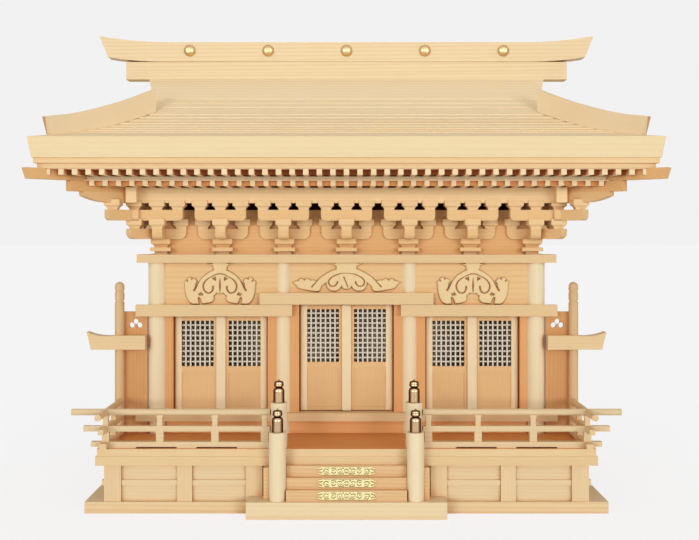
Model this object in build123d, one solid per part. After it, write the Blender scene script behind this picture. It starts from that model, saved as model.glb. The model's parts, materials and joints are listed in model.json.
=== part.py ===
from build123d import *
import os

# Household shrine of plain cypress, in millimetres. The origin is on the ground under the middle
# of the roof, +Z is up and the front faces -Y. The body is three bays wide and one bay deep.

# Setting out
BAY = 152.4
MODULE = BAY / 2
HALF_WIDTH = 1.5 * BAY
HALF_DEPTH = BAY / 2
FIT = 0.2

# Base, platform skirt and floor
SKIRT_HALF = 271.6
SKIRT_FRONT = 169.2
SKIRT_BACK = 104.0
SKIRT_TOP = 54.0
BASE_HALF = SKIRT_HALF + 21.4
BASE_FRONT = SKIRT_FRONT + 2.0
BASE_BACK = SKIRT_BACK + 2.0
BASE_TOP = 12.9
SKIRT_POST_WIDTHS = (19.0, 16.8, 18.5)
SKIRT_POST_X = (SKIRT_HALF - SKIRT_POST_WIDTHS[0] / 2, 181.4, MODULE + 27.2)
SKIRT_POST_DEPTH = 16.0
SKIRT_PANEL_SET = 4.0
SKIRT_PANEL_THICK = 6.0
SKIRT_RAIL_Z = (30.5, 36.5)
SKIRT_RAIL_PROUD = 2.4
SKIRT_RAIL_TIP = 3.0
RIM_TOP = SKIRT_TOP + 10.0
RIM_OUT = 9.0
RIM_FRONT_OUT = 4.4
RIM_WIDE = 22.0
FLOOR_TOP = RIM_TOP + 8.4
FLOOR_SET = 1.8
FLOOR_FRONT_SET = 1.0

# Stair
NEWEL_X = MODULE
NEWEL_R = 9.5
NEWEL_FRONT = SKIRT_FRONT + 16.2
NEWEL_REAR = SKIRT_FRONT - 6.7
NEWEL_TOPS = (94.0, 123.0)
STAIR_PLATE_HALF = NEWEL_X + 34.0
STAIR_PLATE_OUT = 27.0
STAIR_PLATE_TOP = 18.9
STEP_COUNT = 3
STEP_GOING = 6.5
STEP_FRONT = SKIRT_FRONT + 23.0
STEP_TOP = 55.4
CHEEK_FRONT = SKIRT_FRONT + 14.8
CHEEK_OUTER = NEWEL_X + 15.7
FITTING_HALF = 33.0
FITTING_HIGH = 9.6
FITTING_THICK = 0.6
CAP_R = 6.35
CAP_HIGH = 26.5
CAP_NECK_R = 2.9
TURNED_TIP = 0.4
CAP_BULB_R = 5.2

# Railing
RAIL_Y = SKIRT_FRONT - 4.5
RAIL_X = SKIRT_HALF - 1.1
RAIL_TIPS = (38.4, 25.0, 16.2)
TOP_RAIL_R = 3.65
TOP_RAIL_Z = 112.4
MID_RAIL_Z = (91.0, 97.0)
MID_RAIL_THICK = 6.0
FOOT_RAIL_Z = (74.0, 79.4)
FOOT_RAIL_THICK = 8.0
RAIL_POST_X = (209.6, 147.7, 92.0)
RAIL_POST_WIDE = 8.2
RAIL_STRUT_WIDE = 5.8
RAIL_STRUT_CAP = (7.6, 2.4)
SIDE_POST_STEP = 38.0
RAIL_PAD_LONG = 22.0
RAIL_PAD_FIRST = 37.0
RAIL_PAD_MIDDLE = 179.3
RAIL_PAD_LAST = 34.6

# Side screens
SCREEN_POST_X = SKIRT_HALF + 1.4
SCREEN_POST_WIDE = 11.4
SCREEN_POST_TOP = 255.0
SCREEN_RINGS = (232.0, 243.5)
SCREEN_RING_WIDE = 2.6
SCREEN_RING_DEEP = 0.8
SCREEN_THICK = 4.0
SCREEN_TOP = 219.0
SCREEN_BEAM_Z = (174.5, 191.3)
SCREEN_BEAM_TIP = SCREEN_POST_X + 37.0
SCREEN_BEAM_SLANT = 5.0
SCREEN_BEAM_RISE = 4.2
SCREEN_BEAM_FLARE = 34.0
SCREEN_BEAM_SET = 2.0
SCREEN_BEAM_THICK = 7.0
TREFOIL_X = SCREEN_POST_X - 18.5
TREFOIL_Z = 202.6
TREFOIL_R = 3.2
TREFOIL_SPREAD = 4.6
TREFOIL_RISE = 4.4

# Body
COLUMN_R = 9.9
CORNER_COLUMN_R = 11.5
TIE_Z = (278.0, 288.0)
TIE_OUT = 14.5
TIE_IN = 12.0
TIE_NOSE = 23.1
SILL_Z = (88.0, 97.6)
SILL_IN = 15.0
BEAM_OUT = 14.5
BEAM_NOSE = 24.4
WALL_OUT = 5.8
WALL_THICK = 6.0
INNER_FLOOR_THICK = 6.0
RISER_OUT = 6.0
CENTRE_LINTEL_Z = (227.9, 241.9)
CENTRE_LINTEL_HALF = 104.2
SIDE_LINTEL_Z = (213.8, 227.5)
HEAD_HIGH = 10.0
JAMB_DEEP = 4.0
BOARD_LAP = 1.0
JAMB_LAP = 3.0
CEILING_THICK = 3.0
CEILING_RIB_TOP = 378.0
CEILING_RIB_THICK = 6.0

# Doors
LEAF_THICK = 4.4
LEAF_GAP = 1.0
HEEL_GAP = 0.8
SILL_GAP = 1.0
HEAD_GAP = 1.6
DOOR_HALF = 56.5
PIVOT_IN = 5.0
PIN_R = 1.2
PIN_LONG = 3.0
PIN_GAP = 0.08
PIN_SHORT = 0.4
STILE = 8.6
TOP_RAIL = 5.0
LOCK_RAIL = 8.5
BOTTOM_RAIL = 4.0
LATTICE_BAR = 1.8
LATTICE_LAYER = 1.2
LATTICE_ACROSS = 7
CENTRE_LATTICE = (64.2, 11)
SIDE_LATTICE = (55.3, 9)
LEAF_PANEL = 1.8
BATTEN_WIDE = 11.0
BATTEN_THICK = 2.6
BATTEN_GAP = 0.4
JAMB_STOP = 3.0
STOP_GAP = 0.6

# Bracket complex, on a ring of axes a little inside the column axes
BRACKET_INSET = 4.2
RING_X = HALF_WIDTH - BRACKET_INSET
RING_Y = HALF_DEPTH - BRACKET_INSET
STEP_OUT = 27.0
ARM_THICK = 12.0
ARM_LONG = 60.5
LOWER_ARM_ROUND = 8.0
UPPER_ARM_ROUND = 5.0
LOWER_ARM_Z = (306.5, 318.8)
UPPER_ARM_Z = (328.5, 341.1)
PURLIN_Z = (349.3, 367.3)
PURLIN_THICK = 12.4
PURLIN_NOSE = 32.0
PURLIN_FRONT_NOSE = 24.0
BLOCK_SPREAD = 24.1
BLOCK_HIGH = 11.8
BLOCK_TOP = 18.2
BLOCK_FOOT = 11.6
BLOCK_SHOULDER = 4.7
BASE_BLOCK_TOP = 23.5
BASE_BLOCK_NECK = 15.6
BASE_BLOCK_PLATE = 25.0
ARM_NOSE = 4.0
LOWER_DIAGONAL_OUT = 37.6
UPPER_DIAGONAL_OUT = 58.1
UPPER_DIAGONAL_BLOCK = 48.2
TAIL_Z = (349.3, 361.0)
TAIL_OUT = 81.5
TAIL_DEEP_OUT = 58.2
TAIL_TIP_HIGH = 4.6
FRIEZE_OUT = 2.0
FRIEZE_THICK = 4.0
FRIEZE_TOP = 341.7

# Rafters
BASE_RAFTER_Z = (367.3, 373.0)
BASE_RAFTER_WIDE = 5.7
BASE_RAFTER_PITCH = MODULE / 5
BASE_RAFTER_OUT = 77.5
SOFFIT_THICK = 1.0
KIOI_TOP = 378.0
KIOI_OUT = 74.7
KIOI_WIDE = 12.0
FLYING_RAFTER_TOP = 384.2
FLYING_RAFTER_WIDE = 6.0
FLYING_RAFTER_PITCH = 15.0
FLYING_RAFTER_OUT = 110.0
CORNER_RAFTER_WIDE = 11.0
CORNER_RAFTER_DEEP = 12.0
LOWER_CORNER_OUT = 88.9
UPPER_CORNER_OUT = 127.0
CORNER_SLANT = 3.0

# Eave edge and roof
STRIP_OUTS = (112.2, 115.5)
STRIP_HIGHS = (5.3, 6.1)
STRIP_WIDE = 16.0
FASCIA_OUT = 120.6
FASCIA_LEAN = 3.3
FASCIA_HIGH = 22.9
FASCIA_WIDE = 20.0
ROOF_RISE = 0.1438
ROOF_CURVE = 0.00186
HIP_RUN = 116.0
SHINGLE_START = 38.0
SHINGLE_STEP = 9.75
SHINGLE_COUNT = 12
SHINGLE_LIP = 1.0
ROOF_CAVITY_EDGE = 45.0
ROOF_SKIN = 9.0
VERGE_FOOT = 232.0
VERGE_TOP = 252.0
GABLE_SET = 12.0
GABLE_THICK = 5.0
ATTIC_EDGE = 16.0
ATTIC_SHOULDER = (20.0, 12.0)
ATTIC_PEAK_DROP = 13.0
HIP_RIDGE_SINK = 1.5
HIP_RIDGE_STEPS = 6
HIP_RIDGE_HIGHS = (26.0, 20.0)
HIP_RIDGE_THICK = 10.5
HIP_RIDGE_SLANT = 6.0
HIP_RIDGE_END = 19.0
RIDGE_Z = (510.4, 519.0, 533.0)
RIDGE_HALF = 282.0
RIDGE_THICK = 18.4
RIDGE_STRIP_OUT = 1.0
CAP_BOARD_Z = (RIDGE_Z[2] + FIT, 558.0)
CAP_BOARD_TIP = RIDGE_HALF + 34.0
CAP_BOARD_TIP_TOP = 566.0
CAP_BOARD_SLANT = 11.0
CAP_BOARD_RISE = 5.6
CAP_BOARD_SWEEP = RIDGE_HALF - 47.0
CAP_BOARD_THICK = 20.4
STUD_X = (0.0, 100.2, 200.4)
STUD_Z = 547.0
STUD_R = 7.2
STUD_RIM = 1.2
STUD_OUT = 4.5

# Carvings over the doors
CARVING_THICK = 3.4
CENTRE_CARVING = {"half": 65.0, "neck": 20.5, "throat": 12.6, "spread": 38.0}
SIDE_CARVING = {"half": 44.0, "neck": 10.5, "throat": 7.8, "spread": 24.0}

# Levels that follow from the sizes above
FASCIA_BOTTOM = FLYING_RAFTER_TOP + SOFFIT_THICK + sum(STRIP_HIGHS)
EAVE_TOP = FASCIA_BOTTOM + FASCIA_HIGH
PIVOT_Y = -HALF_DEPTH + PIVOT_IN
WALL_FACE = HALF_DEPTH + WALL_OUT


def block(x_range, y_range, z_range):
    """A squared timber or board between three pairs of limits."""
    x0, x1 = sorted(x_range)
    y0, y1 = sorted(y_range)
    z0, z1 = sorted(z_range)
    return Pos((x0 + x1) / 2, (y0 + y1) / 2, (z0 + z1) / 2) * Box(x1 - x0, y1 - y0, z1 - z0)


def outline(points):
    """A flat face with straight edges through the given points."""
    return make_face(Polyline(*points, close=True))


def front_board(face, y_range):
    """A board cut to an outline drawn in the front view, X across and Z up."""
    y0, y1 = sorted(y_range)
    return Pos(0, (y0 + y1) / 2, 0) * extrude(Plane.XZ * face, amount=(y1 - y0) / 2, both=True)


def side_board(face, x_range):
    """A board cut to an outline drawn in the side view, Y across and Z up."""
    x0, x1 = sorted(x_range)
    return Pos((x0 + x1) / 2, 0, 0) * extrude(Plane.YZ * face, amount=(x1 - x0) / 2, both=True)


def flat_board(face, z_range):
    """A board cut to an outline drawn in plan."""
    z0, z1 = sorted(z_range)
    return Pos(0, 0, z0) * extrude(face, amount=z1 - z0)


def post(radius, z_range):
    """A round post on the Z axis."""
    z0, z1 = z_range
    return Pos(0, 0, (z0 + z1) / 2) * Cylinder(radius, z1 - z0)


def pair(shape):
    """A piece and its mirror image on the other side of the shrine."""
    return [shape, mirror(shape, about=Plane.YZ)]


def fore_and_aft(shape):
    """A piece and its mirror image at the back of the shrine."""
    return [shape, mirror(shape, about=Plane.XZ)]


def four_corners(shape):
    """A corner piece repeated at all four corners."""
    return [copy for half in fore_and_aft(shape) for copy in pair(half)]


def turned(face):
    """A piece turned on the Z axis from a half outline of radius and height."""
    return revolve(Plane.XZ * face, axis=Axis.Z)


def squared(face, half):
    """A block with the same outline from the front and from the side."""
    across = front_board(face, (-half, half))
    return across & (Rot(0, 0, 90) * across)


def bowed(start, end, bow):
    """An arc between two points, bowed to the left of the way by a share of its length."""
    across = end[0] - start[0]
    up = end[1] - start[1]
    return ThreePointArc(start, (start[0] + across / 2 - bow * up, start[1] + up / 2 + bow * across), end)


def traced(*stretches):
    """A face round lines and arcs, each given as its end point and its bow, from the last end point."""
    start = stretches[-1][0]
    edges = []
    for end, bow in stretches:
        edges.append(bowed(start, end, bow) if bow else Line(start, end))
        start = end
    return make_face(edges)


def both_halves(start, stretches):
    """A face with the right half given from its first point on the middle line to its last."""
    ends = [start] + [end for end, bow in stretches]
    bows = [bow for end, bow in stretches]
    back = [((-x, z), bow) for (x, z), bow in zip(reversed(ends[:-1]), reversed(bows))]
    return traced(*stretches, *back)


def flatten(shapes):
    """All the solids of a list of pieces."""
    return [solid for shape in shapes for solid in shape.solids()]


def base_plates():
    """The ground plate and the thicker plate under the stair."""
    plate = block((-BASE_HALF, BASE_HALF), (-BASE_FRONT, BASE_BACK), (0, BASE_TOP))
    stair_front = -SKIRT_FRONT - STAIR_PLATE_OUT
    stair_x = (-STAIR_PLATE_HALF, STAIR_PLATE_HALF)
    stair_plate = block(stair_x, (stair_front, -BASE_FRONT), (0, STAIR_PLATE_TOP))
    stair_plate += block(stair_x, (-BASE_FRONT, -SKIRT_FRONT), (BASE_TOP, STAIR_PLATE_TOP))
    return {"base_plate": [plate], "stair_base_plate": [stair_plate]}


def skirt_post_places():
    """Centre and size in plan of each post of the skirt."""
    places = []
    deep = SKIRT_POST_DEPTH
    for x, wide in zip(SKIRT_POST_X, SKIRT_POST_WIDTHS):
        for y in (-SKIRT_FRONT + deep / 2, SKIRT_BACK - deep / 2):
            places += [(x, y, wide, deep), (-x, y, wide, deep)]
    side_x = SKIRT_HALF - deep / 2
    side_wide = SKIRT_POST_WIDTHS[1]
    middle = (SKIRT_BACK - SKIRT_FRONT) / 2
    return places + [(side_x, middle, deep, side_wide), (-side_x, middle, deep, side_wide)]


def skirt():
    """Posts, recessed panels and the rail across them, all round the platform."""
    z_range = (BASE_TOP, SKIRT_TOP)
    posts = []
    for x, y, wide, deep in skirt_post_places():
        posts.append(block((x - wide / 2, x + wide / 2), (y - deep / 2, y + deep / 2), z_range))
    panel_back = SKIRT_PANEL_SET + SKIRT_PANEL_THICK
    rail_front = SKIRT_PANEL_SET - SKIRT_RAIL_PROUD

    def panel_run(start, end, face, inward, along_x):
        """One panel between two posts, with its rail."""
        run = (start + FIT, end - FIT)
        board_depth = (face + inward * SKIRT_PANEL_SET, face + inward * panel_back)
        rail_depth = (face + inward * rail_front, face + inward * panel_back)
        if along_x:
            return block(run, board_depth, z_range) + block(run, rail_depth, SKIRT_RAIL_Z)
        return block(board_depth, run, z_range) + block(rail_depth, run, SKIRT_RAIL_Z)

    panels = []
    edges = []
    for x, wide in zip(SKIRT_POST_X, SKIRT_POST_WIDTHS):
        edges.append((x - wide / 2, x + wide / 2))
    for outer, inner in zip(edges, edges[1:]):
        for face, inward in ((-SKIRT_FRONT, 1), (SKIRT_BACK, -1)):
            panels += pair(panel_run(inner[1], outer[0], face, inward, True))
    panels.append(panel_run(-edges[-1][0], edges[-1][0], SKIRT_BACK, -1, True))
    middle = (SKIRT_BACK - SKIRT_FRONT) / 2
    half_post = SKIRT_POST_WIDTHS[1] / 2
    front_end = -SKIRT_FRONT + SKIRT_POST_DEPTH
    back_end = SKIRT_BACK - SKIRT_POST_DEPTH
    for start, end in ((front_end, middle - half_post), (middle + half_post, back_end)):
        panels += pair(panel_run(start, end, SKIRT_HALF, -1, False))
    tip_y = -SKIRT_FRONT + rail_front
    tip_x = (SKIRT_HALF, SKIRT_HALF + SKIRT_RAIL_TIP)
    panels += pair(block(tip_x, (tip_y, tip_y + SKIRT_PANEL_THICK), SKIRT_RAIL_Z))
    return {"skirt_posts": posts, "skirt_panels": panels}


def floor():
    """Rim beams on the skirt and the floor board that covers the platform."""
    outer_x = SKIRT_HALF + RIM_OUT
    front = -SKIRT_FRONT - RIM_FRONT_OUT
    back = SKIRT_BACK + RIM_FRONT_OUT
    z_range = (SKIRT_TOP, RIM_TOP)
    beams = [block((-outer_x, outer_x), (front, front + RIM_WIDE), z_range)]
    beams.append(block((-outer_x, outer_x), (back - RIM_WIDE, back), z_range))
    side_y = (front + RIM_WIDE + FIT, back - RIM_WIDE - FIT)
    beams += pair(block((outer_x - RIM_WIDE, outer_x), side_y, z_range))
    board_x = outer_x - FLOOR_SET
    board_y = (front + FLOOR_FRONT_SET, back - FLOOR_FRONT_SET)
    board = block((-board_x, board_x), board_y, (RIM_TOP, FLOOR_TOP))
    return {"rim_beams": beams, "floor_board": [board]}


def stair():
    """Three shallow steps between notched cheeks, with a stamped fitting on each riser."""
    inner = NEWEL_X - NEWEL_R
    rise = (STEP_TOP - STAIR_PLATE_TOP) / STEP_COUNT
    back = -SKIRT_FRONT - RIM_FRONT_OUT
    steps = []
    fittings = []
    for index in range(STEP_COUNT):
        front = -STEP_FRONT + index * STEP_GOING
        top = STAIR_PLATE_TOP + (index + 1) * rise
        steps.append((front, top - rise))
        steps.append((front, top))
        level = (top - rise / 2 - FITTING_HIGH / 2, top - rise / 2 + FITTING_HIGH / 2)
        fittings.append(block((-FITTING_HALF, FITTING_HALF), (front - FITTING_THICK, front), level))
    under = min(SKIRT_TOP, STEP_TOP)
    profile = steps + [
        (back, STEP_TOP), (back, under), (-SKIRT_FRONT, under), (-SKIRT_FRONT, STAIR_PLATE_TOP)]
    run = inner - FIT
    flight = side_board(outline(profile), (-run, run))
    cheek = block((inner, CHEEK_OUTER), (-CHEEK_FRONT, -SKIRT_FRONT), (STAIR_PLATE_TOP, under))
    cheek -= Pos(NEWEL_X, -NEWEL_FRONT, 0) * post(NEWEL_R + FIT, (0, STEP_TOP))
    return {"stair_steps": [flight], "stair_cheeks": pair(cheek), "step_fittings": fittings}


def newels():
    """Round posts at the foot and the head of the stair, with onion-shaped brass caps."""
    posts = []
    caps = []
    sleeve, neck, bulb, shoulder = (CAP_HIGH * share for share in (0.45, 0.64, 0.79, 0.9))
    cap = turned(traced(
        ((CAP_R, 0), 0), ((CAP_R, sleeve), 0), ((CAP_NECK_R, neck), -0.2), ((CAP_BULB_R, bulb), -0.3),
        ((CAP_NECK_R * 0.8, shoulder), -0.3), ((TURNED_TIP, CAP_HIGH), 0.12),
        ((0, CAP_HIGH), 0), ((0, 0), 0)))
    places = ((NEWEL_FRONT, STAIR_PLATE_TOP, NEWEL_TOPS[0]), (NEWEL_REAR, FLOOR_TOP, NEWEL_TOPS[1]))
    for y, foot, top in places:
        posts += pair(Pos(NEWEL_X, -y, 0) * post(NEWEL_R, (foot, top)))
        caps += pair(Pos(NEWEL_X, -y, top) * cap)
    return {"newel_posts": posts, "newel_caps": caps}


def railing_run(starts, tips, struts, pads):
    """A straight run of railing along X: foot beam on pads, middle rail, struts and round top rail."""
    mid_half = MID_RAIL_THICK / 2
    foot_half = FOOT_RAIL_THICK / 2
    top_start, mid_start, foot_start = starts
    top_tip, mid_tip, foot_tip = tips
    top_long = top_tip - top_start
    top_rail = Rot(0, 90, 0) * Cylinder(TOP_RAIL_R, top_long)
    top_rail = Pos((top_start + top_tip) / 2, 0, TOP_RAIL_Z) * top_rail
    mid_rail = block((mid_start, mid_tip), (-mid_half, mid_half), MID_RAIL_Z)
    foot_rail = block((foot_start, foot_tip), (-foot_half, foot_half), FOOT_RAIL_Z)
    if not struts:
        return [top_rail, mid_rail, foot_rail]
    run = top_rail + mid_rail + foot_rail
    cap_wide, cap_high = RAIL_STRUT_CAP
    cap_top = TOP_RAIL_Z - TOP_RAIL_R * 0.8
    slim = RAIL_STRUT_WIDE / 2
    for x in struts:
        half = RAIL_POST_WIDE / 2
        run += block((x - half, x + half), (-mid_half, mid_half), (FOOT_RAIL_Z[1], MID_RAIL_Z[0]))
        run += block((x - slim, x + slim), (-slim, slim), (MID_RAIL_Z[1], cap_top))
        run += block((x - cap_wide / 2, x + cap_wide / 2), (-slim, slim), (cap_top - cap_high, cap_top))
    for pad in pads:
        run += block(pad, (-foot_half, foot_half), (FLOOR_TOP, FOOT_RAIL_Z[0]))
    return [run]


def railings():
    """Railings on the front and sides of the veranda, crossing with long tips at the corners."""
    newel_side = NEWEL_X + NEWEL_R + FIT
    struts = RAIL_POST_X + (RAIL_X,)
    floor_edge = SKIRT_HALF + RIM_OUT - FLOOR_SET
    middle = RAIL_PAD_LONG / 2
    pads = (
        (newel_side, newel_side + RAIL_PAD_FIRST), (RAIL_PAD_MIDDLE - middle, RAIL_PAD_MIDDLE + middle),
        (RAIL_X - RAIL_PAD_LAST, floor_edge))
    front = railing_run([newel_side] * 3, [RAIL_X + tip for tip in RAIL_TIPS], struts, pads)
    front = [Pos(0, -RAIL_Y, 0) * piece for piece in front]
    halves = (TOP_RAIL_R, MID_RAIL_THICK / 2, FOOT_RAIL_THICK / 2)
    screen_side = WALL_FACE + SCREEN_POST_WIDE + FIT
    back_faces = [RAIL_Y - half - FIT for half in halves]
    front_faces = [RAIL_Y + half + FIT for half in halves]
    tips = [RAIL_Y + tip for tip in RAIL_TIPS]
    strut = RAIL_Y - SIDE_POST_STEP
    side = railing_run([screen_side] * 3, back_faces, [strut], [(strut - middle, strut + middle)])
    side += railing_run(front_faces, tips, [], [])
    side = [Pos(RAIL_X, 0, 0) * Rot(0, 0, -90) * piece for piece in side]
    return {
        "railing_front_right": front, "railing_side_right": side,
        "railing_front_left": [mirror(piece, about=Plane.YZ) for piece in front],
        "railing_side_left": [mirror(piece, about=Plane.YZ) for piece in side]}


def side_screens():
    """Screens that close the side verandas: ringed post, pierced panel and flared beam."""
    centre_y = -WALL_FACE - SCREEN_POST_WIDE / 2 + SCREEN_THICK / 2
    half = SCREEN_POST_WIDE / 2
    shaft_top = SCREEN_POST_TOP - half
    rings = []
    for ring in SCREEN_RINGS:
        low, high = ring - SCREEN_RING_WIDE / 2, ring + SCREEN_RING_WIDE / 2
        groove = half - SCREEN_RING_DEEP
        rings += [((half, low), 0), ((groove, low), 0), ((groove, high), 0), ((half, high), 0)]
    top = SCREEN_POST_TOP
    dome = [((half, shaft_top), 0), ((TURNED_TIP, top), -0.2), ((0, top), 0), ((0, FLOOR_TOP), 0)]
    screen_post = Pos(SCREEN_POST_X, centre_y, 0) * turned(traced(((half, FLOOR_TOP), 0), *rings, *dome))
    panel_front = -WALL_FACE
    panel_back = panel_front + SCREEN_THICK
    inner = HALF_WIDTH + CORNER_COLUMN_R
    panel = block((inner, SCREEN_POST_X), (panel_front, panel_back), (FLOOR_TOP, SCREEN_TOP))
    post_hole = Pos(SCREEN_POST_X, centre_y, 0) * post(half, (0, SCREEN_POST_TOP))
    panel -= post_hole
    sill_x = (inner - BOARD_LAP, HALF_WIDTH + BEAM_OUT + FIT)
    panel -= block(sill_x, (panel_front, panel_back), (SILL_Z[0] - FIT, SILL_Z[1] + FIT))
    for dx, dz in ((-TREFOIL_SPREAD, 0), (TREFOIL_SPREAD, 0), (0, TREFOIL_RISE)):
        lobe = Rot(90, 0, 0) * Cylinder(TREFOIL_R, 4 * SCREEN_THICK)
        panel -= Pos(TREFOIL_X + dx, panel_front, TREFOIL_Z + dz) * lobe
    z0, z1 = SCREEN_BEAM_Z
    tip = SCREEN_BEAM_TIP
    start = inner + FIT
    face = traced(
        ((tip - SCREEN_BEAM_SLANT, z0), 0), ((tip, z1 + SCREEN_BEAM_RISE), 0),
        ((tip - SCREEN_BEAM_FLARE, z1), 0.07), ((start, z1), 0), ((start, z0), 0))
    beam_front = centre_y - half + SCREEN_BEAM_SET - SCREEN_BEAM_THICK
    beam = front_board(face, (beam_front, panel_front)) - post_hole
    return {
        "side_screen_posts": pair(screen_post), "side_screen_panels": pair(panel),
        "side_screen_beams": pair(beam)}


def column_places():
    """Centre and radius of each column."""
    places = []
    for x, radius in ((HALF_WIDTH, CORNER_COLUMN_R), (MODULE, COLUMN_R)):
        for y in (-HALF_DEPTH, HALF_DEPTH):
            places += [(x, y, radius), (-x, y, radius)]
    return places


def column_holes(shape):
    """A piece notched where the columns pass through it."""
    for x, y, radius in column_places():
        shape -= Pos(x, y, 0) * post(radius, (0, TIE_Z[1]))
    return shape


def ring(out, inward, nose, z_range):
    """Four beams on the column lines, the front and back ones running on as noses."""
    x = HALF_WIDTH
    y = HALF_DEPTH
    long = block((-x - nose, x + nose), (-y - out, -y + inward), z_range)
    side = block((x - inward, x + out), (-y + inward + FIT, y - inward - FIT), z_range)
    return fore_and_aft(long) + pair(side)


def frame():
    """Columns, sill beams, tie beams, inner floor and ceiling."""
    columns = [Pos(x, y, 0) * post(radius, (FLOOR_TOP, TIE_Z[0])) for x, y, radius in column_places()]
    sills = []
    for beam in ring(BEAM_OUT, SILL_IN, BEAM_OUT, SILL_Z):
        sills.append(column_holes(beam))
    nose_y = (-HALF_DEPTH - BEAM_OUT, -WALL_FACE)
    nose_x = (HALF_WIDTH + BEAM_OUT, HALF_WIDTH + BEAM_NOSE)
    riser = ring(RISER_OUT, 0, -CORNER_COLUMN_R, (FLOOR_TOP, SILL_Z[0]))
    risers = [column_holes(board) for board in riser]
    inner_x = HALF_WIDTH - SILL_IN - FIT
    inner_y = HALF_DEPTH - SILL_IN - FIT
    floor_z = (SILL_Z[1] - INNER_FLOOR_THICK, SILL_Z[1])
    inner_floor = column_holes(block((-inner_x, inner_x), (-inner_y, inner_y), floor_z))
    ties = ring(TIE_OUT, TIE_IN, TIE_NOSE, TIE_Z)
    ceiling_x = RING_X + FRIEZE_OUT - FRIEZE_THICK - FIT
    ceiling_y = RING_Y + FRIEZE_OUT - FRIEZE_THICK - FIT
    ceiling_top = TIE_Z[1] + CEILING_THICK
    ceiling = block((-ceiling_x, ceiling_x), (-ceiling_y, ceiling_y), (TIE_Z[1], ceiling_top))
    rib = CEILING_RIB_THICK / 2
    ceiling += block((-ceiling_x, ceiling_x), (-rib, rib), (ceiling_top, CEILING_RIB_TOP))
    front, back, right, left = sills
    front += block(nose_x, nose_y, SILL_Z) + block((-nose_x[1], -nose_x[0]), nose_y, SILL_Z)
    back = mirror(front, about=Plane.XZ)
    for x, axis_y, top in pivot_places():
        front -= Pos(x, axis_y, 0) * post(PIN_R + PIN_GAP, (SILL_Z[1] - PIN_LONG, SILL_Z[1] + SILL_GAP))
    return {
        "columns": columns, "sill_beams": [front, back, right, left], "riser_boards": risers,
        "inner_floor": [inner_floor], "head_tie_beams": ties, "ceiling_board": [ceiling]}


def pivot_places():
    """Place of each door pivot, with the top of its leaf."""
    places = []
    for centre, top in ((0, CENTRE_LINTEL_Z[0]), (BAY, SIDE_LINTEL_Z[0]), (-BAY, SIDE_LINTEL_Z[0])):
        for side in (-1, 1):
            places.append((centre + side * (DOOR_HALF - LEAF_THICK / 2), PIVOT_Y, top - HEAD_GAP))
    return places


def lattice(wide, high, rows):
    """Two layers of thin bars, upright ones in front, joined where they cross."""
    across = (wide - (LATTICE_ACROSS - 1) * LATTICE_BAR) / LATTICE_ACROSS + LATTICE_BAR
    up = (high - (rows - 1) * LATTICE_BAR) / rows + LATTICE_BAR
    bars = []
    for index in range(1, LATTICE_ACROSS):
        x = index * across - LATTICE_BAR / 2 - wide / 2
        bars.append(block((x - LATTICE_BAR / 2, x + LATTICE_BAR / 2), (-LATTICE_LAYER, 0), (0, high)))
    for index in range(1, rows):
        z = index * up - LATTICE_BAR / 2
        level = (z - LATTICE_BAR / 2, z + LATTICE_BAR / 2)
        bars.append(block((-wide / 2, wide / 2), (0, LATTICE_LAYER), level))
    return bars


def door_leaf(top, lattice_high, rows, batten):
    """The right-hand leaf of a pair, its meeting edge at X = 0 side and its heel round."""
    low = SILL_Z[1] + SILL_GAP
    inner = LEAF_GAP / 2
    heel = DOOR_HALF - LEAF_THICK / 2
    half = LEAF_THICK / 2
    body = block((inner, heel), (-half, half), (low, top))
    field_x = (inner + STILE, DOOR_HALF - STILE)
    lattice_z = (top - TOP_RAIL - lattice_high, top - TOP_RAIL)
    body -= block(field_x, (-half, half), lattice_z)
    panel_z = (low + BOTTOM_RAIL, lattice_z[0] - LOCK_RAIL)
    body -= block(field_x, (-half, -LEAF_PANEL / 2), panel_z)
    body -= block(field_x, (LEAF_PANEL / 2, half), panel_z)
    body += Pos(heel, 0, 0) * post(half, (low, top))
    middle = (field_x[0] + field_x[1]) / 2
    for bar in lattice(field_x[1] - field_x[0], lattice_high, rows):
        body += Pos(middle, 0, lattice_z[0]) * bar
    body += Pos(heel, 0, 0) * post(PIN_R, (low - SILL_GAP - PIN_LONG + PIN_SHORT, low))
    body += Pos(heel, 0, 0) * post(PIN_R, (top, top + HEAD_GAP + PIN_LONG - PIN_SHORT))
    if batten:
        back = -half
        clear = -half - BATTEN_GAP
        edge = BATTEN_WIDE / 2
        front = clear - BATTEN_THICK
        face = outline([
            (edge, back), (edge, front), (-edge, front), (-edge, clear), (inner, clear), (inner, back)])
        body += flat_board(face, (low, top))
    return body


def doors():
    """Three pairs of lattice doors, the right leaf of each pair carrying the batten."""
    nodes = {}
    bays = (
        ("left", -BAY, SIDE_LINTEL_Z[0], SIDE_LATTICE),
        ("centre", 0, CENTRE_LINTEL_Z[0], CENTRE_LATTICE),
        ("right", BAY, SIDE_LINTEL_Z[0], SIDE_LATTICE))
    made = {}
    for name, centre, lintel, (high, rows) in bays:
        top = lintel - HEAD_GAP
        if top not in made:
            plain = mirror(door_leaf(top, high, rows, False), about=Plane.YZ)
            made[top] = (plain, door_leaf(top, high, rows, True))
        for side, leaf in zip(("left", "right"), made[top]):
            nodes[f"door_{name}_bay_{side}_leaf"] = [Pos(centre, PIVOT_Y, 0) * leaf]
    return nodes


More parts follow.
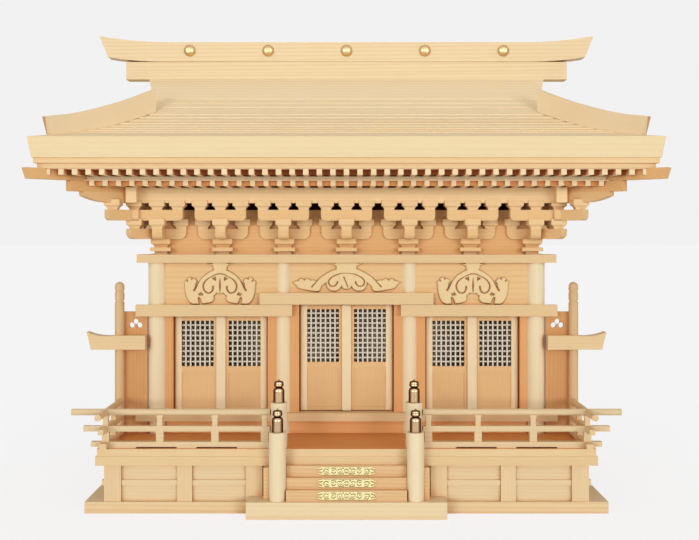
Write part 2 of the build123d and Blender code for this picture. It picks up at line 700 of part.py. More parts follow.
def door_frames():
    """Jambs beside each opening, and a head board over it that holds the upper pivots."""
    jambs = []
    heads = []
    front = -WALL_FACE
    leaf_back = PIVOT_Y + LEAF_THICK / 2
    back = leaf_back + STOP_GAP + JAMB_DEEP
    for centre, half_bay_left, half_bay_right, lintel in (
            (0, MODULE - COLUMN_R, MODULE - COLUMN_R, CENTRE_LINTEL_Z[0]),
            (BAY, MODULE - COLUMN_R, MODULE - CORNER_COLUMN_R, SIDE_LINTEL_Z[0]),
            (-BAY, MODULE - CORNER_COLUMN_R, MODULE - COLUMN_R, SIDE_LINTEL_Z[0])):
        for side, column_edge in ((-1, half_bay_left), (1, half_bay_right)):
            face_x = DOOR_HALF + HEEL_GAP
            far_x = centre + side * (column_edge + JAMB_LAP)
            jamb = block((centre + side * face_x, far_x), (front, back), (SILL_Z[1], lintel))
            stop_x = (centre + side * (face_x - JAMB_STOP), far_x)
            jamb += block(stop_x, (leaf_back + STOP_GAP, back), (SILL_Z[1], lintel))
            jambs.append(column_holes(jamb))
        head_half = MODULE - COLUMN_R - BOARD_LAP
        head_x = (centre - head_half, centre + head_half)
        head = block(head_x, (front + WALL_THICK, back), (lintel, lintel + HEAD_HIGH))
        head = column_holes(head)
        for x, axis_y, top in pivot_places():
            if abs(x - centre) < MODULE:
                head -= Pos(x, axis_y, 0) * post(PIN_R + PIN_GAP, (lintel - HEAD_GAP, lintel + PIN_LONG))
        heads.append(head)
    return {"door_jambs": jambs, "door_heads": heads}


def lintels():
    """Lintel beams nailed over the columns, the centre one raised above its neighbours."""
    depth = (-HALF_DEPTH - BEAM_OUT, -WALL_FACE)
    centre = block((-CENTRE_LINTEL_HALF, CENTRE_LINTEL_HALF), depth, CENTRE_LINTEL_Z)
    side = block((MODULE - COLUMN_R - BOARD_LAP, HALF_WIDTH + BEAM_NOSE), depth, SIDE_LINTEL_Z)
    beams = [centre] + pair(side)
    return {"lintel_beams": [column_holes(beam) for beam in beams]}


def carving(high, half, neck, throat, spread):
    """A scrolled strut from one board: flared neck, two sweeping arms and a scalloped leaf each side."""
    leaf = high * 0.42
    scallop = (half - spread) / 4
    return both_halves((0, high), [
        ((neck, high), 0), ((throat, high * 0.8), -0.18), ((spread, leaf), -0.16),
        ((spread + scallop, leaf), 0.3), ((spread + 2 * scallop, leaf - 1.0), 0.3),
        ((spread + 3 * scallop, leaf - 2.0), 0.3), ((half, high * 0.3), 0.1),
        ((half * 0.88, 0), 0.16), ((half * 0.44, 0), 0), ((half * 0.3, high * 0.1), -0.3),
        ((half * 0.16, 0), -0.3), ((0, high * 0.12), 0.12)])


def walls():
    """Wall boards of the upper front, the sides, the back and the bracket zone."""
    front_y = (-WALL_FACE, -WALL_FACE + WALL_THICK)
    transoms = []
    centre_top = TIE_Z[0]
    for centre, lintel in ((0, CENTRE_LINTEL_Z[0]), (BAY, SIDE_LINTEL_Z[0]), (-BAY, SIDE_LINTEL_Z[0])):
        bay_x = (centre - MODULE + BOARD_LAP, centre + MODULE - BOARD_LAP)
        board = block(bay_x, front_y, (lintel, centre_top))
        transoms.append(column_holes(board))
    outer = []
    z_range = (SILL_Z[1], TIE_Z[0])
    for centre in (0, BAY, -BAY):
        bay_x = (centre - MODULE + BOARD_LAP, centre + MODULE - BOARD_LAP)
        back = block(bay_x, (WALL_FACE - WALL_THICK, WALL_FACE), z_range)
        outer.append(column_holes(back))
    side_x = HALF_WIDTH + WALL_OUT
    side_y = HALF_DEPTH - 2 * BOARD_LAP
    side = column_holes(block((side_x - WALL_THICK, side_x), (-side_y, side_y), z_range))
    outer += pair(side)
    z_range = (TIE_Z[1], FRIEZE_TOP)
    x = RING_X + FRIEZE_OUT
    y = RING_Y + FRIEZE_OUT
    long = block((-x, x), (-y, -y + FRIEZE_THICK), z_range)
    short = block((x - FRIEZE_THICK, x), (-y + FRIEZE_THICK + FIT, y - FRIEZE_THICK - FIT), z_range)
    depth = (-CARVING_THICK, 0)
    centre_carving = front_board(carving(TIE_Z[0] - CENTRE_LINTEL_Z[1], **CENTRE_CARVING), depth)
    side_carving = front_board(carving(TIE_Z[0] - SIDE_LINTEL_Z[1], **SIDE_CARVING), depth)
    carvings = [Pos(0, -WALL_FACE, CENTRE_LINTEL_Z[1]) * centre_carving]
    carvings += pair(Pos(BAY, -WALL_FACE, SIDE_LINTEL_Z[1]) * side_carving)
    return {
        "transom_boards": transoms, "outer_walls": outer,
        "frieze_boards": fore_and_aft(long) + pair(short), "carvings": carvings}


def rounded_arm(start, end, upper=False, both_round=True):
    """A bracket arm along X between two limits, its lower end corners rounded, its foot at Z = 0."""
    low, high = UPPER_ARM_Z if upper else LOWER_ARM_Z
    face = Pos((start + end) / 2, (high - low) / 2) * Rectangle(end - start, high - low)
    corners = face.vertices().group_by(Axis.Y)[0].sort_by(Axis.X)
    radius = min(UPPER_ARM_ROUND if upper else LOWER_ARM_ROUND, 0.9 * (end - start))
    face = fillet(corners if both_round else corners[-1:], radius)
    half = ARM_THICK / 2
    return front_board(face, (-half, half))


def seat(piece, level, wide, turns):
    """A bearing block with a seat cut across its top for each beam that it carries."""
    half = wide / 2 + FIT
    for turn in turns:
        piece -= Rot(0, 0, turn) * block((-BLOCK_TOP, BLOCK_TOP), (-half, half), (level, 2 * BLOCK_HIGH))
    return piece


def bearing_blocks():
    """The plain small block, those seated for an arm and for a purlin, and the large base block."""
    head, foot = BLOCK_TOP / 2, BLOCK_FOOT / 2
    small = squared(both_halves((0, 0), [
        ((foot, 0), 0), ((head, BLOCK_SHOULDER), 0.16), ((head, BLOCK_HIGH), 0), ((0, BLOCK_HIGH), 0)]), head)
    arm_level = UPPER_ARM_Z[0] - LOWER_ARM_Z[1]
    purlin_level = PURLIN_Z[0] - UPPER_ARM_Z[1]
    blocks = {"plain": small}
    for name, turns in (("along", (0,)), ("across", (90,)), ("cross", (0, 90, -45))):
        blocks["arm", name] = seat(small, arm_level, ARM_THICK, turns)
        blocks["purlin", name] = seat(small, purlin_level, PURLIN_THICK, turns)
    blocks["tail"] = seat(small, purlin_level, CORNER_RAFTER_WIDE, (-45,))
    plate, neck, head = BASE_BLOCK_PLATE / 2, BASE_BLOCK_NECK / 2, BASE_BLOCK_TOP / 2
    rise = LOWER_ARM_Z[0] - TIE_Z[1]
    foot_top, plate_top, shoulder = rise * 0.2, rise * 0.45, rise * 0.7
    large = squared(both_halves((0, 0), [
        ((neck, 0), 0), ((neck, foot_top), 0), ((plate, foot_top), 0), ((plate, plate_top), 0),
        ((neck, plate_top), 0), ((head, shoulder), 0.16), ((head, rise), 0), ((0, rise), 0)]), plate)
    return blocks, large


def outside(piece):
    """What of a bracket piece stands in front of the frieze boards."""
    x = RING_X + FRIEZE_OUT
    y = RING_Y + FRIEZE_OUT
    core = block((-x, x), (-y, y), (TIE_Z[0], PURLIN_Z[1]))
    return list((piece - core).solids())


def middle_sets(blocks, large):
    """One-step bracket sets on the inner columns and between all columns, on the four sides."""
    arm = rounded_arm(-ARM_LONG / 2, ARM_LONG / 2)
    upper_arm = rounded_arm(-ARM_LONG / 2, ARM_LONG / 2, upper=True)
    forward = Rot(0, 0, -90) * rounded_arm(ARM_THICK / 2, STEP_OUT + ARM_THICK / 2, both_round=False)
    step = RING_X / 3
    places = [Pos(index * step, -RING_Y, 0) for index in range(-2, 3)]
    places += [Rot(0, 0, 180) * place for place in places]
    places += [Rot(0, 0, turn) * Pos(0, -RING_X, 0) for turn in (90, -90)]
    bases = []
    arms = []
    small = []
    for place in places:
        bases += outside(place * Pos(0, 0, TIE_Z[1]) * large)
        arms += outside(place * Pos(0, 0, LOWER_ARM_Z[0]) * arm)
        arms += outside(place * Pos(0, 0, LOWER_ARM_Z[0]) * forward)
        arms.append(place * Pos(0, -STEP_OUT, UPPER_ARM_Z[0]) * upper_arm)
        small.append(place * Pos(0, -STEP_OUT, LOWER_ARM_Z[1]) * blocks["arm", "along"])
        for x in (-BLOCK_SPREAD, BLOCK_SPREAD):
            small += outside(place * Pos(x, 0, LOWER_ARM_Z[1]) * blocks["plain"])
        for x in (-BLOCK_SPREAD, 0, BLOCK_SPREAD):
            small.append(place * Pos(x, -STEP_OUT, UPPER_ARM_Z[1]) * blocks["purlin", "along"])
    return bases, arms, small


def corner_arms():
    """Arms of one corner set, with the corner of the bracket ring as origin and the corner at +X, -Y."""
    half = ARM_THICK / 2
    inner = ARM_LONG / 2
    nose = STEP_OUT + half + ARM_NOSE
    reach = STEP_OUT + half
    root2 = 2 ** 0.5
    forward, backward, diagonal = (Rot(0, 0, turn) for turn in (-90, 90, -45))
    low = Pos(0, 0, LOWER_ARM_Z[0])
    arms = [low * rounded_arm(-inner, reach)]
    arms.append(low * forward * rounded_arm(half, reach, both_round=False))
    arms.append(low * backward * rounded_arm(half, inner, both_round=False))
    crossing = [arms[0], arms[1]]
    lower_diagonal = low * diagonal * rounded_arm(0, LOWER_DIAGONAL_OUT * root2 - half, both_round=False)
    high = Pos(0, 0, UPPER_ARM_Z[0])
    front = high * Pos(0, -STEP_OUT, 0) * rounded_arm(-inner, nose, upper=True)
    side = high * Pos(STEP_OUT, 0, 0)
    forward_nose = side * forward * rounded_arm(STEP_OUT + half, nose, upper=True, both_round=False)
    backward_arm = side * backward * rounded_arm(-STEP_OUT + half, inner, upper=True, both_round=False)
    upper_start = (STEP_OUT + half) * root2
    upper_diagonal = high * diagonal * rounded_arm(
        upper_start, UPPER_DIAGONAL_OUT * root2 - half, upper=True, both_round=False)
    for arm in crossing:
        lower_diagonal -= arm
    for arm in (front, forward_nose, backward_arm):
        upper_diagonal -= arm
    return arms + [lower_diagonal, front, forward_nose, backward_arm, upper_diagonal]


def corner_tail():
    """The tapered tail under the lower corner rafter, along the diagonal of one corner."""
    half = CORNER_RAFTER_WIDE / 2
    root2 = 2 ** 0.5
    low, high = TAIL_Z
    start = (STEP_OUT + PURLIN_THICK / 2 + FIT) * root2 + half
    tip = TAIL_OUT * root2 - half
    face = traced(
        ((TAIL_DEEP_OUT * root2 - half, low), 0), ((tip, high - TAIL_TIP_HIGH), -0.05), ((tip, high), 0),
        ((start, high), 0), ((start, low), 0))
    return Rot(0, 0, -45) * front_board(face, (-half, half))


def brackets():
    """The whole ring of bracket sets, with noses both ways and diagonal arms at the corners."""
    blocks, large = bearing_blocks()
    bases, arms, small = middle_sets(blocks, large)
    corner = Pos(RING_X, -RING_Y, 0)
    for piece in corner_arms():
        for solid in outside(corner * piece):
            arms += four_corners(solid)
    arms += four_corners(corner * corner_tail())
    for solid in outside(corner * Pos(0, 0, TIE_Z[1]) * large):
        bases += four_corners(solid)
    step = STEP_OUT
    spread = BLOCK_SPREAD
    lower = (
        (-spread, 0, "plain"), (0, spread, "plain"), (step, 0, ("arm", "across")),
        (0, -step, ("arm", "along")), (step, -step, ("arm", "cross")))
    upper = (
        (-spread, -step, ("purlin", "along")), (0, -step, ("purlin", "along")),
        (step, -step, ("purlin", "cross")), (step, 0, ("purlin", "across")),
        (step, spread, ("purlin", "across")),
        (UPPER_DIAGONAL_BLOCK, -UPPER_DIAGONAL_BLOCK, "tail"))
    for level, places in ((LOWER_ARM_Z[1], lower), (UPPER_ARM_Z[1], upper)):
        for x, y, kind in places:
            for solid in outside(corner * Pos(x, y, level) * blocks[kind]):
                small += four_corners(solid)
    return {"bracket_bases": bases, "bracket_arms": arms, "bracket_blocks": small}


def corner_rafter(out, z_high, start, end_slant):
    """A corner rafter along the diagonal, drawn along X from the corner column axis."""
    root2 = 2 ** 0.5
    low, high = z_high
    half = CORNER_RAFTER_WIDE / 2
    tip = out * root2 - half
    face = outline([(start, low), (tip - end_slant * root2, low), (tip, high), (start, high)])
    return front_board(face, (-half, half))


def comb(half_run, pitch, wide, z_range, board_top):
    """The section of a row of rafters under their boarding."""
    low, high = z_range
    count = int((half_run - wide / 2) / pitch)
    points = []
    for index in range(-count, count + 1):
        x = index * pitch
        points += [(x - wide / 2, high), (x - wide / 2, low), (x + wide / 2, low), (x + wide / 2, high)]
    board = [(half_run, high), (half_run, board_top), (-half_run, board_top)]
    return outline([(-half_run, high)] + points + board)


def rafter_side(half_line, pitch, wide, z_range, board_top, outs):
    """One side of the eaves: rafters along -Y from a wall line, mitred at both corners."""
    inner, outer = outs
    clear = CORNER_RAFTER_WIDE / 2 * 2 ** 0.5 + FIT
    section = comb(half_line + outer, pitch, wide, z_range, board_top)
    body = front_board(section, (-outer, -inner))
    corner_in = half_line + inner - clear
    corner_out = half_line + outer - clear
    mitre = outline([(-corner_in, -inner), (-corner_out, -outer), (corner_out, -outer), (corner_in, -inner)])
    return body & flat_board(mitre, (z_range[0] - 1, board_top + 1))


def four_sides(make_side):
    """The same eave piece on the front, back and both ends."""
    front = Pos(0, -HALF_DEPTH, 0) * make_side(HALF_WIDTH)
    side = Pos(0, -HALF_WIDTH, 0) * make_side(HALF_DEPTH)
    back = Rot(0, 0, 180) * front
    return [front, back, Rot(0, 0, 90) * side, Rot(0, 0, -90) * side]


def mitred_strip(half_line, outer, inner, z_range, lean):
    """A straight eave board with mitred ends, leaning in towards its foot by lean."""
    gap = FIT / 2
    low, high = z_range
    face_low = outline([
        (-half_line - inner + gap, -inner), (-half_line - outer + lean + gap, -outer + lean),
        (half_line + outer - lean - gap, -outer + lean), (half_line + inner - gap, -inner)])
    if lean == 0:
        return flat_board(face_low, z_range)
    face_high = outline([
        (-half_line - inner + gap, -inner), (-half_line - outer + gap, -outer),
        (half_line + outer - gap, -outer), (half_line + inner - gap, -inner)])
    return loft([Pos(0, 0, low) * face_low, Pos(0, 0, high) * face_high], ruled=True)


def eaves():
    """Purlins, two tiers of rafters, corner rafters, and the boards along the eave edge."""
    half = PURLIN_THICK / 2
    y = RING_Y + STEP_OUT
    x = RING_X + STEP_OUT
    long = block((-x - PURLIN_NOSE, x + PURLIN_NOSE), (-y - half, -y + half), PURLIN_Z)
    side = block((x - half, x + half), (-y + half + FIT, y - half - FIT), PURLIN_Z)
    nose = block((x - half, x + half), (-y - PURLIN_FRONT_NOSE, -y - half - FIT), PURLIN_Z)
    start = FRIEZE_OUT * 2 ** 0.5 + CORNER_RAFTER_WIDE / 2 + FIT
    lower_z = (BASE_RAFTER_Z[1] - CORNER_RAFTER_DEEP, BASE_RAFTER_Z[1])
    upper_z = (lower_z[1] + FIT, lower_z[1] + FIT + CORNER_RAFTER_DEEP)
    lower = corner_rafter(LOWER_CORNER_OUT, lower_z, start, 0)
    upper = corner_rafter(UPPER_CORNER_OUT, upper_z, start, CORNER_SLANT)
    corner = Pos(HALF_WIDTH, -HALF_DEPTH, 0) * Rot(0, 0, -45)
    lower_all = four_corners(corner * lower)
    upper_all = four_corners(corner * upper)
    purlins = []
    for beam in fore_and_aft(long) + pair(side) + four_corners(nose):
        for rafter in lower_all:
            beam -= rafter
        purlins.append(beam)
    base_outs = (FRIEZE_OUT, BASE_RAFTER_OUT)
    base_top = BASE_RAFTER_Z[1] + SOFFIT_THICK
    base = four_sides(lambda line: rafter_side(
        line, BASE_RAFTER_PITCH, BASE_RAFTER_WIDE, BASE_RAFTER_Z, base_top, base_outs))
    clear = CORNER_RAFTER_WIDE / 2 * 2 ** 0.5 + FIT

    def kioi(line):
        """The board that the flying rafters rest on."""
        inner = KIOI_OUT - KIOI_WIDE
        face = outline([
            (-line - inner + clear, -inner), (-line - KIOI_OUT + clear, -KIOI_OUT),
            (line + KIOI_OUT - clear, -KIOI_OUT), (line + inner - clear, -inner)])
        return flat_board(face, (base_top, KIOI_TOP))

    flying_z = (KIOI_TOP, FLYING_RAFTER_TOP)
    flying_outs = (KIOI_OUT - KIOI_WIDE, FLYING_RAFTER_OUT)
    soffit_top = FLYING_RAFTER_TOP + SOFFIT_THICK
    flying = four_sides(lambda line: rafter_side(
        line, FLYING_RAFTER_PITCH, FLYING_RAFTER_WIDE, flying_z, soffit_top, flying_outs))

    def strips(line):
        """Two stepped boards on the ends of the flying rafters."""
        level = soffit_top
        body = None
        for out, high in zip(STRIP_OUTS, STRIP_HIGHS):
            board = mitred_strip(line, out, out - STRIP_WIDE, (level, level + high), 0)
            body = board if body is None else body + board
            level += high
        return body

    fascia = four_sides(lambda line: mitred_strip(
        line, FASCIA_OUT, FASCIA_OUT - FASCIA_WIDE, (FASCIA_BOTTOM, EAVE_TOP), FASCIA_LEAN))
    return {
        "eave_purlins": purlins, "base_rafters": base, "rafter_bearers": four_sides(kioi),
        "flying_rafters": flying, "corner_rafters": lower_all + upper_all,
        "eave_strips": four_sides(strips), "eave_fascia": fascia}


def roof_height(run):
    """Height of the roof surface at a horizontal run inward from the eave edge."""
    return EAVE_TOP + ROOF_RISE * run + ROOF_CURVE * run * run


def roof_points(start, end):
    """Run and height along the slope, with a small lip at the edge of each shingle course."""
    points = [(start, roof_height(start))]
    for index in range(SHINGLE_COUNT):
        run = SHINGLE_START + index * SHINGLE_STEP
        if start < run < end:
            points += [(run, roof_height(run) - SHINGLE_LIP / 2), (run, roof_height(run) + SHINGLE_LIP / 2)]
    if start == 0:
        points.insert(1, (SHINGLE_START / 2, roof_height(SHINGLE_START / 2)))
    return points + [(end, roof_height(end))]


def lower_roof(eave_x, eave_y):
    """The hipped skirt of the roof, hollow inside and open over the body."""
    slope = roof_points(0, HIP_RUN)

    def crossing(half):
        right = [(half - run, height) for run, height in slope]
        return outline(right + [(-x, z) for x, z in reversed(right)])

    lower = front_board(crossing(eave_x), (-eave_y, eave_y)) & side_board(crossing(eave_y), (-eave_x, eave_x))
    top_run = HIP_RUN + ROOF_SKIN
    sections = []
    for run, level in ((ROOF_CAVITY_EDGE, EAVE_TOP), (top_run, roof_height(HIP_RUN) - ROOF_SKIN)):
        sections.append(Pos(0, 0, level) * Rectangle(2 * (eave_x - run), 2 * (eave_y - run)))
    return lower - loft(sections, ruled=True)


def upper_roof(eave_y):
    """The two slopes of the gabled upper roof with flaring verges, and the two gable boards."""
    base = roof_height(HIP_RUN)
    ridge_z = RIDGE_Z[0]
    top_y = RIDGE_THICK / 2 + RIDGE_STRIP_OUT
    slope = [(run, height) for run, height in roof_points(HIP_RUN, eave_y - top_y) if height < ridge_z]
    front = [(run - eave_y, height) for run, height in slope]
    outer = front + [(-top_y, ridge_z), (top_y, ridge_z)] + [(-y, z) for y, z in reversed(front)]
    foot_y = eave_y - HIP_RUN - ATTIC_EDGE
    shoulder_y, shoulder_drop = ATTIC_SHOULDER
    peak = ridge_z - ATTIC_PEAK_DROP
    shoulder_z = peak - shoulder_drop
    inner = outline([
        (-foot_y, base), (-shoulder_y, shoulder_z), (0, peak), (shoulder_y, shoulder_z), (foot_y, base)])
    verge = outline([(-VERGE_FOOT, base), (VERGE_FOOT, base), (VERGE_TOP, ridge_z), (-VERGE_TOP, ridge_z)])
    shell = side_board(outline(outer), (-VERGE_TOP, VERGE_TOP))
    attic = side_board(inner, (-VERGE_TOP, VERGE_TOP))
    slopes = fore_and_aft((shell - attic) & front_board(verge, (-eave_y, -FIT / 2)))
    gable_x = VERGE_FOOT - GABLE_SET
    return slopes, pair(side_board(inner, (gable_x - GABLE_THICK, gable_x)))


def hip_ridges(eave_x, eave_y, lower, upper):
    """The four raised hips, thicker towards the gable, each fitted to both roofs."""
    root2 = 2 ** 0.5
    low_high, top_high = HIP_RIDGE_HIGHS[1], HIP_RIDGE_HIGHS[0]
    under = []
    over = []
    for index in range(HIP_RIDGE_STEPS + 1):
        share = index / HIP_RIDGE_STEPS
        run = HIP_RIDGE_END + (HIP_RUN - HIP_RIDGE_END) * share
        under.append((run * root2, roof_height(run) - HIP_RIDGE_SINK))
        over.append((run * root2, roof_height(run) + low_high + (top_high - low_high) * share))
    over[0] = (over[0][0] - HIP_RIDGE_SLANT, over[0][1])
    half = HIP_RIDGE_THICK / 2
    board = front_board(outline(under + list(reversed(over))), (-half, half))
    hip = Pos(eave_x, -eave_y, 0) * Rot(0, 0, 135) * board
    for neighbour in (lower, upper):
        hip = (hip - neighbour).solids().sort_by(SortBy.VOLUME)[-1]
    return four_corners(hip)


def ridge():
    """The ridge board with its strip, the sweeping cap board, and the round studs on its front."""
    z0, z1, z2 = RIDGE_Z
    thick = RIDGE_THICK / 2
    strip = thick + RIDGE_STRIP_OUT
    board = block((-RIDGE_HALF, RIDGE_HALF), (-strip, strip), (z0, z1))
    board += block((-RIDGE_HALF, RIDGE_HALF), (-thick, thick), (z1, z2))
    low, high = CAP_BOARD_Z
    tip = CAP_BOARD_TIP
    sweep = CAP_BOARD_SWEEP
    cap_face = both_halves((0, low), [
        ((sweep, low), 0), ((tip - CAP_BOARD_SLANT, low + CAP_BOARD_RISE), -0.02),
        ((tip, CAP_BOARD_TIP_TOP), 0), ((sweep, high), 0.02), ((0, high), 0)])
    cap_half = CAP_BOARD_THICK / 2
    cap = front_board(cap_face, (-cap_half, cap_half))
    stud = turned(traced(
        ((STUD_R, 0), 0), ((STUD_R, STUD_RIM), 0), ((TURNED_TIP, STUD_OUT), -0.2),
        ((0, STUD_OUT), 0), ((0, 0), 0)))
    studs = []
    for x in sorted({sign * value for value in STUD_X for sign in (-1, 1)}):
        studs.append(Pos(x, -cap_half, STUD_Z) * (Rot(90, 0, 0) * stud))
    return {"ridge_base_board": [board], "ridge_cap_board": [cap], "ridge_studs": studs}


def roof():
    """Hipped lower roof, gabled upper roof, gable boards, hip ridges and the main ridge."""
    eave_x = HALF_WIDTH + FASCIA_OUT
    eave_y = HALF_DEPTH + FASCIA_OUT
    lower = lower_roof(eave_x, eave_y)
    slopes, gables = upper_roof(eave_y)
    hips = hip_ridges(eave_x, eave_y, lower, slopes[0])
    return {
        "roof_lower": [lower], "roof_upper": slopes, "gable_walls": gables, "hip_ridges": hips, **ridge()}


def base():
    """Everything from the ground to the floor."""
    nodes = {}
    for group in (base_plates(), skirt(), floor(), stair(), newels(), railings(), side_screens()):
        nodes.update(group)
    return nodes


def body():
    """Columns, doors, walls and brackets."""
    nodes = {}
    for group in (frame(), doors(), door_frames(), lintels(), walls(), brackets()):
        nodes.update(group)
    return nodes


NODES = {**base(), **body(), **eaves(), **roof()}
os.makedirs("parts", exist_ok=True)
for name, shapes in NODES.items():
    export_step(Compound(children=flatten(shapes)), f"parts/{name}.step")
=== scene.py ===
import json
import math

import bpy
import numpy as np
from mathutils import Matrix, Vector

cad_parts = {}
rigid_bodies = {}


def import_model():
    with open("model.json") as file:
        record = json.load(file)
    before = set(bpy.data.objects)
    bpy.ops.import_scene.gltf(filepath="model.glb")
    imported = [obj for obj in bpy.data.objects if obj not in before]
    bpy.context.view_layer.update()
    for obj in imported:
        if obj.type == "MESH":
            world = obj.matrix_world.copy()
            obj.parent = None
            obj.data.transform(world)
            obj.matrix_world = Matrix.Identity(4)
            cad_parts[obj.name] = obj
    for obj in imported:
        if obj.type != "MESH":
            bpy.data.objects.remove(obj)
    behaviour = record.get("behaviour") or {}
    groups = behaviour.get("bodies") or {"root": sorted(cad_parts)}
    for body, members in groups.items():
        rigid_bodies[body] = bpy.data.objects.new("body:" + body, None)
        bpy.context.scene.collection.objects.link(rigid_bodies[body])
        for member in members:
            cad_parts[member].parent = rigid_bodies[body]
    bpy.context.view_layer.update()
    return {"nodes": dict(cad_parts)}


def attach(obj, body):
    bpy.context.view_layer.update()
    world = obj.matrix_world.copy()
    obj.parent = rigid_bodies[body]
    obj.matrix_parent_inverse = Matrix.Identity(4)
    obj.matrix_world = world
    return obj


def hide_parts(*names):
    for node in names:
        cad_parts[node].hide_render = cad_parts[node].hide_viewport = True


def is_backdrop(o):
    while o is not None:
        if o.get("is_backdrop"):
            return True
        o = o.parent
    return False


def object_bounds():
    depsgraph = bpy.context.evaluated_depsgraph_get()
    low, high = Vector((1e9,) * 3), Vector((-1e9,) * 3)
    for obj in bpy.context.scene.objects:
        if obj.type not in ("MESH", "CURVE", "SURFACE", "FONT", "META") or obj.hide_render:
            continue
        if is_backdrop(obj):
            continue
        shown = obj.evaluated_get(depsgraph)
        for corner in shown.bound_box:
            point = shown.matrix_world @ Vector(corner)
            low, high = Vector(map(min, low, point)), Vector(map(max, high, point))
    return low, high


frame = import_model()

for thing in list(bpy.data.objects):
    if thing.type in ("LIGHT", "CAMERA") or thing.name == "Cube":
        bpy.data.objects.remove(thing)


# Ground plate and stair plate: planed boards of cypress, laid flat, that carry the whole shrine.
# Their warm face shows long flame-shaped rings, and every later piece takes the same kind of finish.
def srgb(red, green, blue):
    """A colour given as 0 to 255 display values, as linear light."""
    shares = [value / 255 for value in (red, green, blue)]
    return tuple(s / 12.92 if s <= 0.04045 else ((s + 0.055) / 1.055) ** 2.4 for s in shares) + (1.0,)


def maths(nodes, links, operation, *values, clamp=False):
    """One arithmetic step between sockets or plain numbers."""
    node = nodes.new("ShaderNodeMath")
    node.operation = operation
    node.use_clamp = clamp
    for socket, value in zip(node.inputs, values):
        if isinstance(value, (int, float)):
            socket.default_value = value
        else:
            links.new(value, socket)
    return node.outputs[0]


def blended(nodes, links, share, first, second):
    """Two colours mixed by a share of the second."""
    node = nodes.new("ShaderNodeMix")
    node.data_type = "RGBA"
    links.new(share, node.inputs["Factor"])
    links.new(first, node.inputs["A"])
    links.new(second, node.inputs["B"])
    return node.outputs["Result"]


def cypress_grain():
    """Planed cypress. Rings are a sine of the distance across the grain, bent by slow noise, and fibres are
    noise drawn out along it. Closed corners get painted shade: first the warm recess colour, then the deep
    one."""
    group = bpy.data.node_groups.new("cypress_grain", "ShaderNodeTree")
    for name, kind in (
            ("Place", "NodeSocketVector"), ("Face", "NodeSocketColor"), ("Ring", "NodeSocketColor"),
            ("Recess", "NodeSocketColor"), ("Deep", "NodeSocketColor"), ("Ring spacing", "NodeSocketFloat"),
            ("Ring strength", "NodeSocketFloat"), ("Fibre strength", "NodeSocketFloat"),
            ("Recess reach", "NodeSocketFloat"), ("Recess strength", "NodeSocketFloat"),
            ("Deep strength", "NodeSocketFloat")):
        group.interface.new_socket(name=name, in_out="INPUT", socket_type=kind)
    for name, kind in (("Colour", "NodeSocketColor"), ("Height", "NodeSocketFloat"),
        ("Roughness", "NodeSocketFloat")):
        group.interface.new_socket(name=name, in_out="OUTPUT", socket_type=kind)
    nodes, links = group.nodes, group.links
    inlet, outlet = nodes.new("NodeGroupInput"), nodes.new("NodeGroupOutput")

    def step(operation, *values, clamp=False):
        return maths(nodes, links, operation, *values, clamp=clamp)

    def noise(scale, detail):
        node = nodes.new("ShaderNodeTexNoise")
        node.inputs["Scale"].default_value = scale
        node.inputs["Detail"].default_value = detail
        links.new(inlet.outputs["Place"], node.inputs["Vector"])
        return node.outputs["Fac"]

    parts = nodes.new("ShaderNodeSeparateXYZ")
    links.new(inlet.outputs["Place"], parts.inputs["Vector"])
    across = step("ADD", parts.outputs["Y"], step("MULTIPLY", parts.outputs["Z"], 0.8))
    wander = step("MULTIPLY", noise(7.0, 2.0), 0.05)
    phase = step("DIVIDE", step("ADD", across, wander), inlet.outputs["Ring spacing"])
    wave = step("MULTIPLY_ADD", step("SINE", step("MULTIPLY", phase, 2 * math.pi)), 0.5, 0.5)
    rings = step("POWER", wave, 3.0)
    fibre = noise(800.0, 3.0)
    cloud = noise(16.0, 3.0)
    total = step("MULTIPLY", rings, inlet.outputs["Ring strength"])
    total = step("MULTIPLY_ADD", step("SUBTRACT", fibre, 0.4), inlet.outputs["Fibre strength"], total)
    total = step("MULTIPLY_ADD", step("SUBTRACT", cloud, 0.45), 0.9, total, clamp=True)
    surface = blended(nodes, links, total, inlet.outputs["Face"], inlet.outputs["Ring"])
    # Painted shade: occlusion turns closed corners to the recess colour, then to the deep one.
    hidden = nodes.new("ShaderNodeAmbientOcclusion")
    hidden.samples = 8
    links.new(inlet.outputs["Recess reach"], hidden.inputs["Distance"])
    closed = step("SUBTRACT", 1.0, hidden.outputs["AO"])
    warm = step("MULTIPLY", step("MULTIPLY_ADD", closed, 2.2, -0.75, clamp=True),
        inlet.outputs["Recess strength"])
    deep = step("MULTIPLY", step("MULTIPLY_ADD", closed, 5.0, -3.9, clamp=True),
        inlet.outputs["Deep strength"])
    surface = blended(nodes, links, warm, surface, inlet.outputs["Recess"])
    links.new(blended(nodes, links, deep, surface, inlet.outputs["Deep"]), outlet.inputs["Colour"])
    links.new(step("ADD", step("MULTIPLY", fibre, 0.7), step("MULTIPLY", rings, 0.3)),
        outlet.inputs["Height"])
    links.new(step("MULTIPLY_ADD", fibre, 0.12, 0.5), outlet.inputs["Roughness"])
    return group


GRAIN = cypress_grain()
GRAIN_TURNS = {"x": (0.0, 0.0, 0.0), "y": (0.0, 0.0, math.pi / 2), "z": (0.0, math.pi / 2, 0.0)}


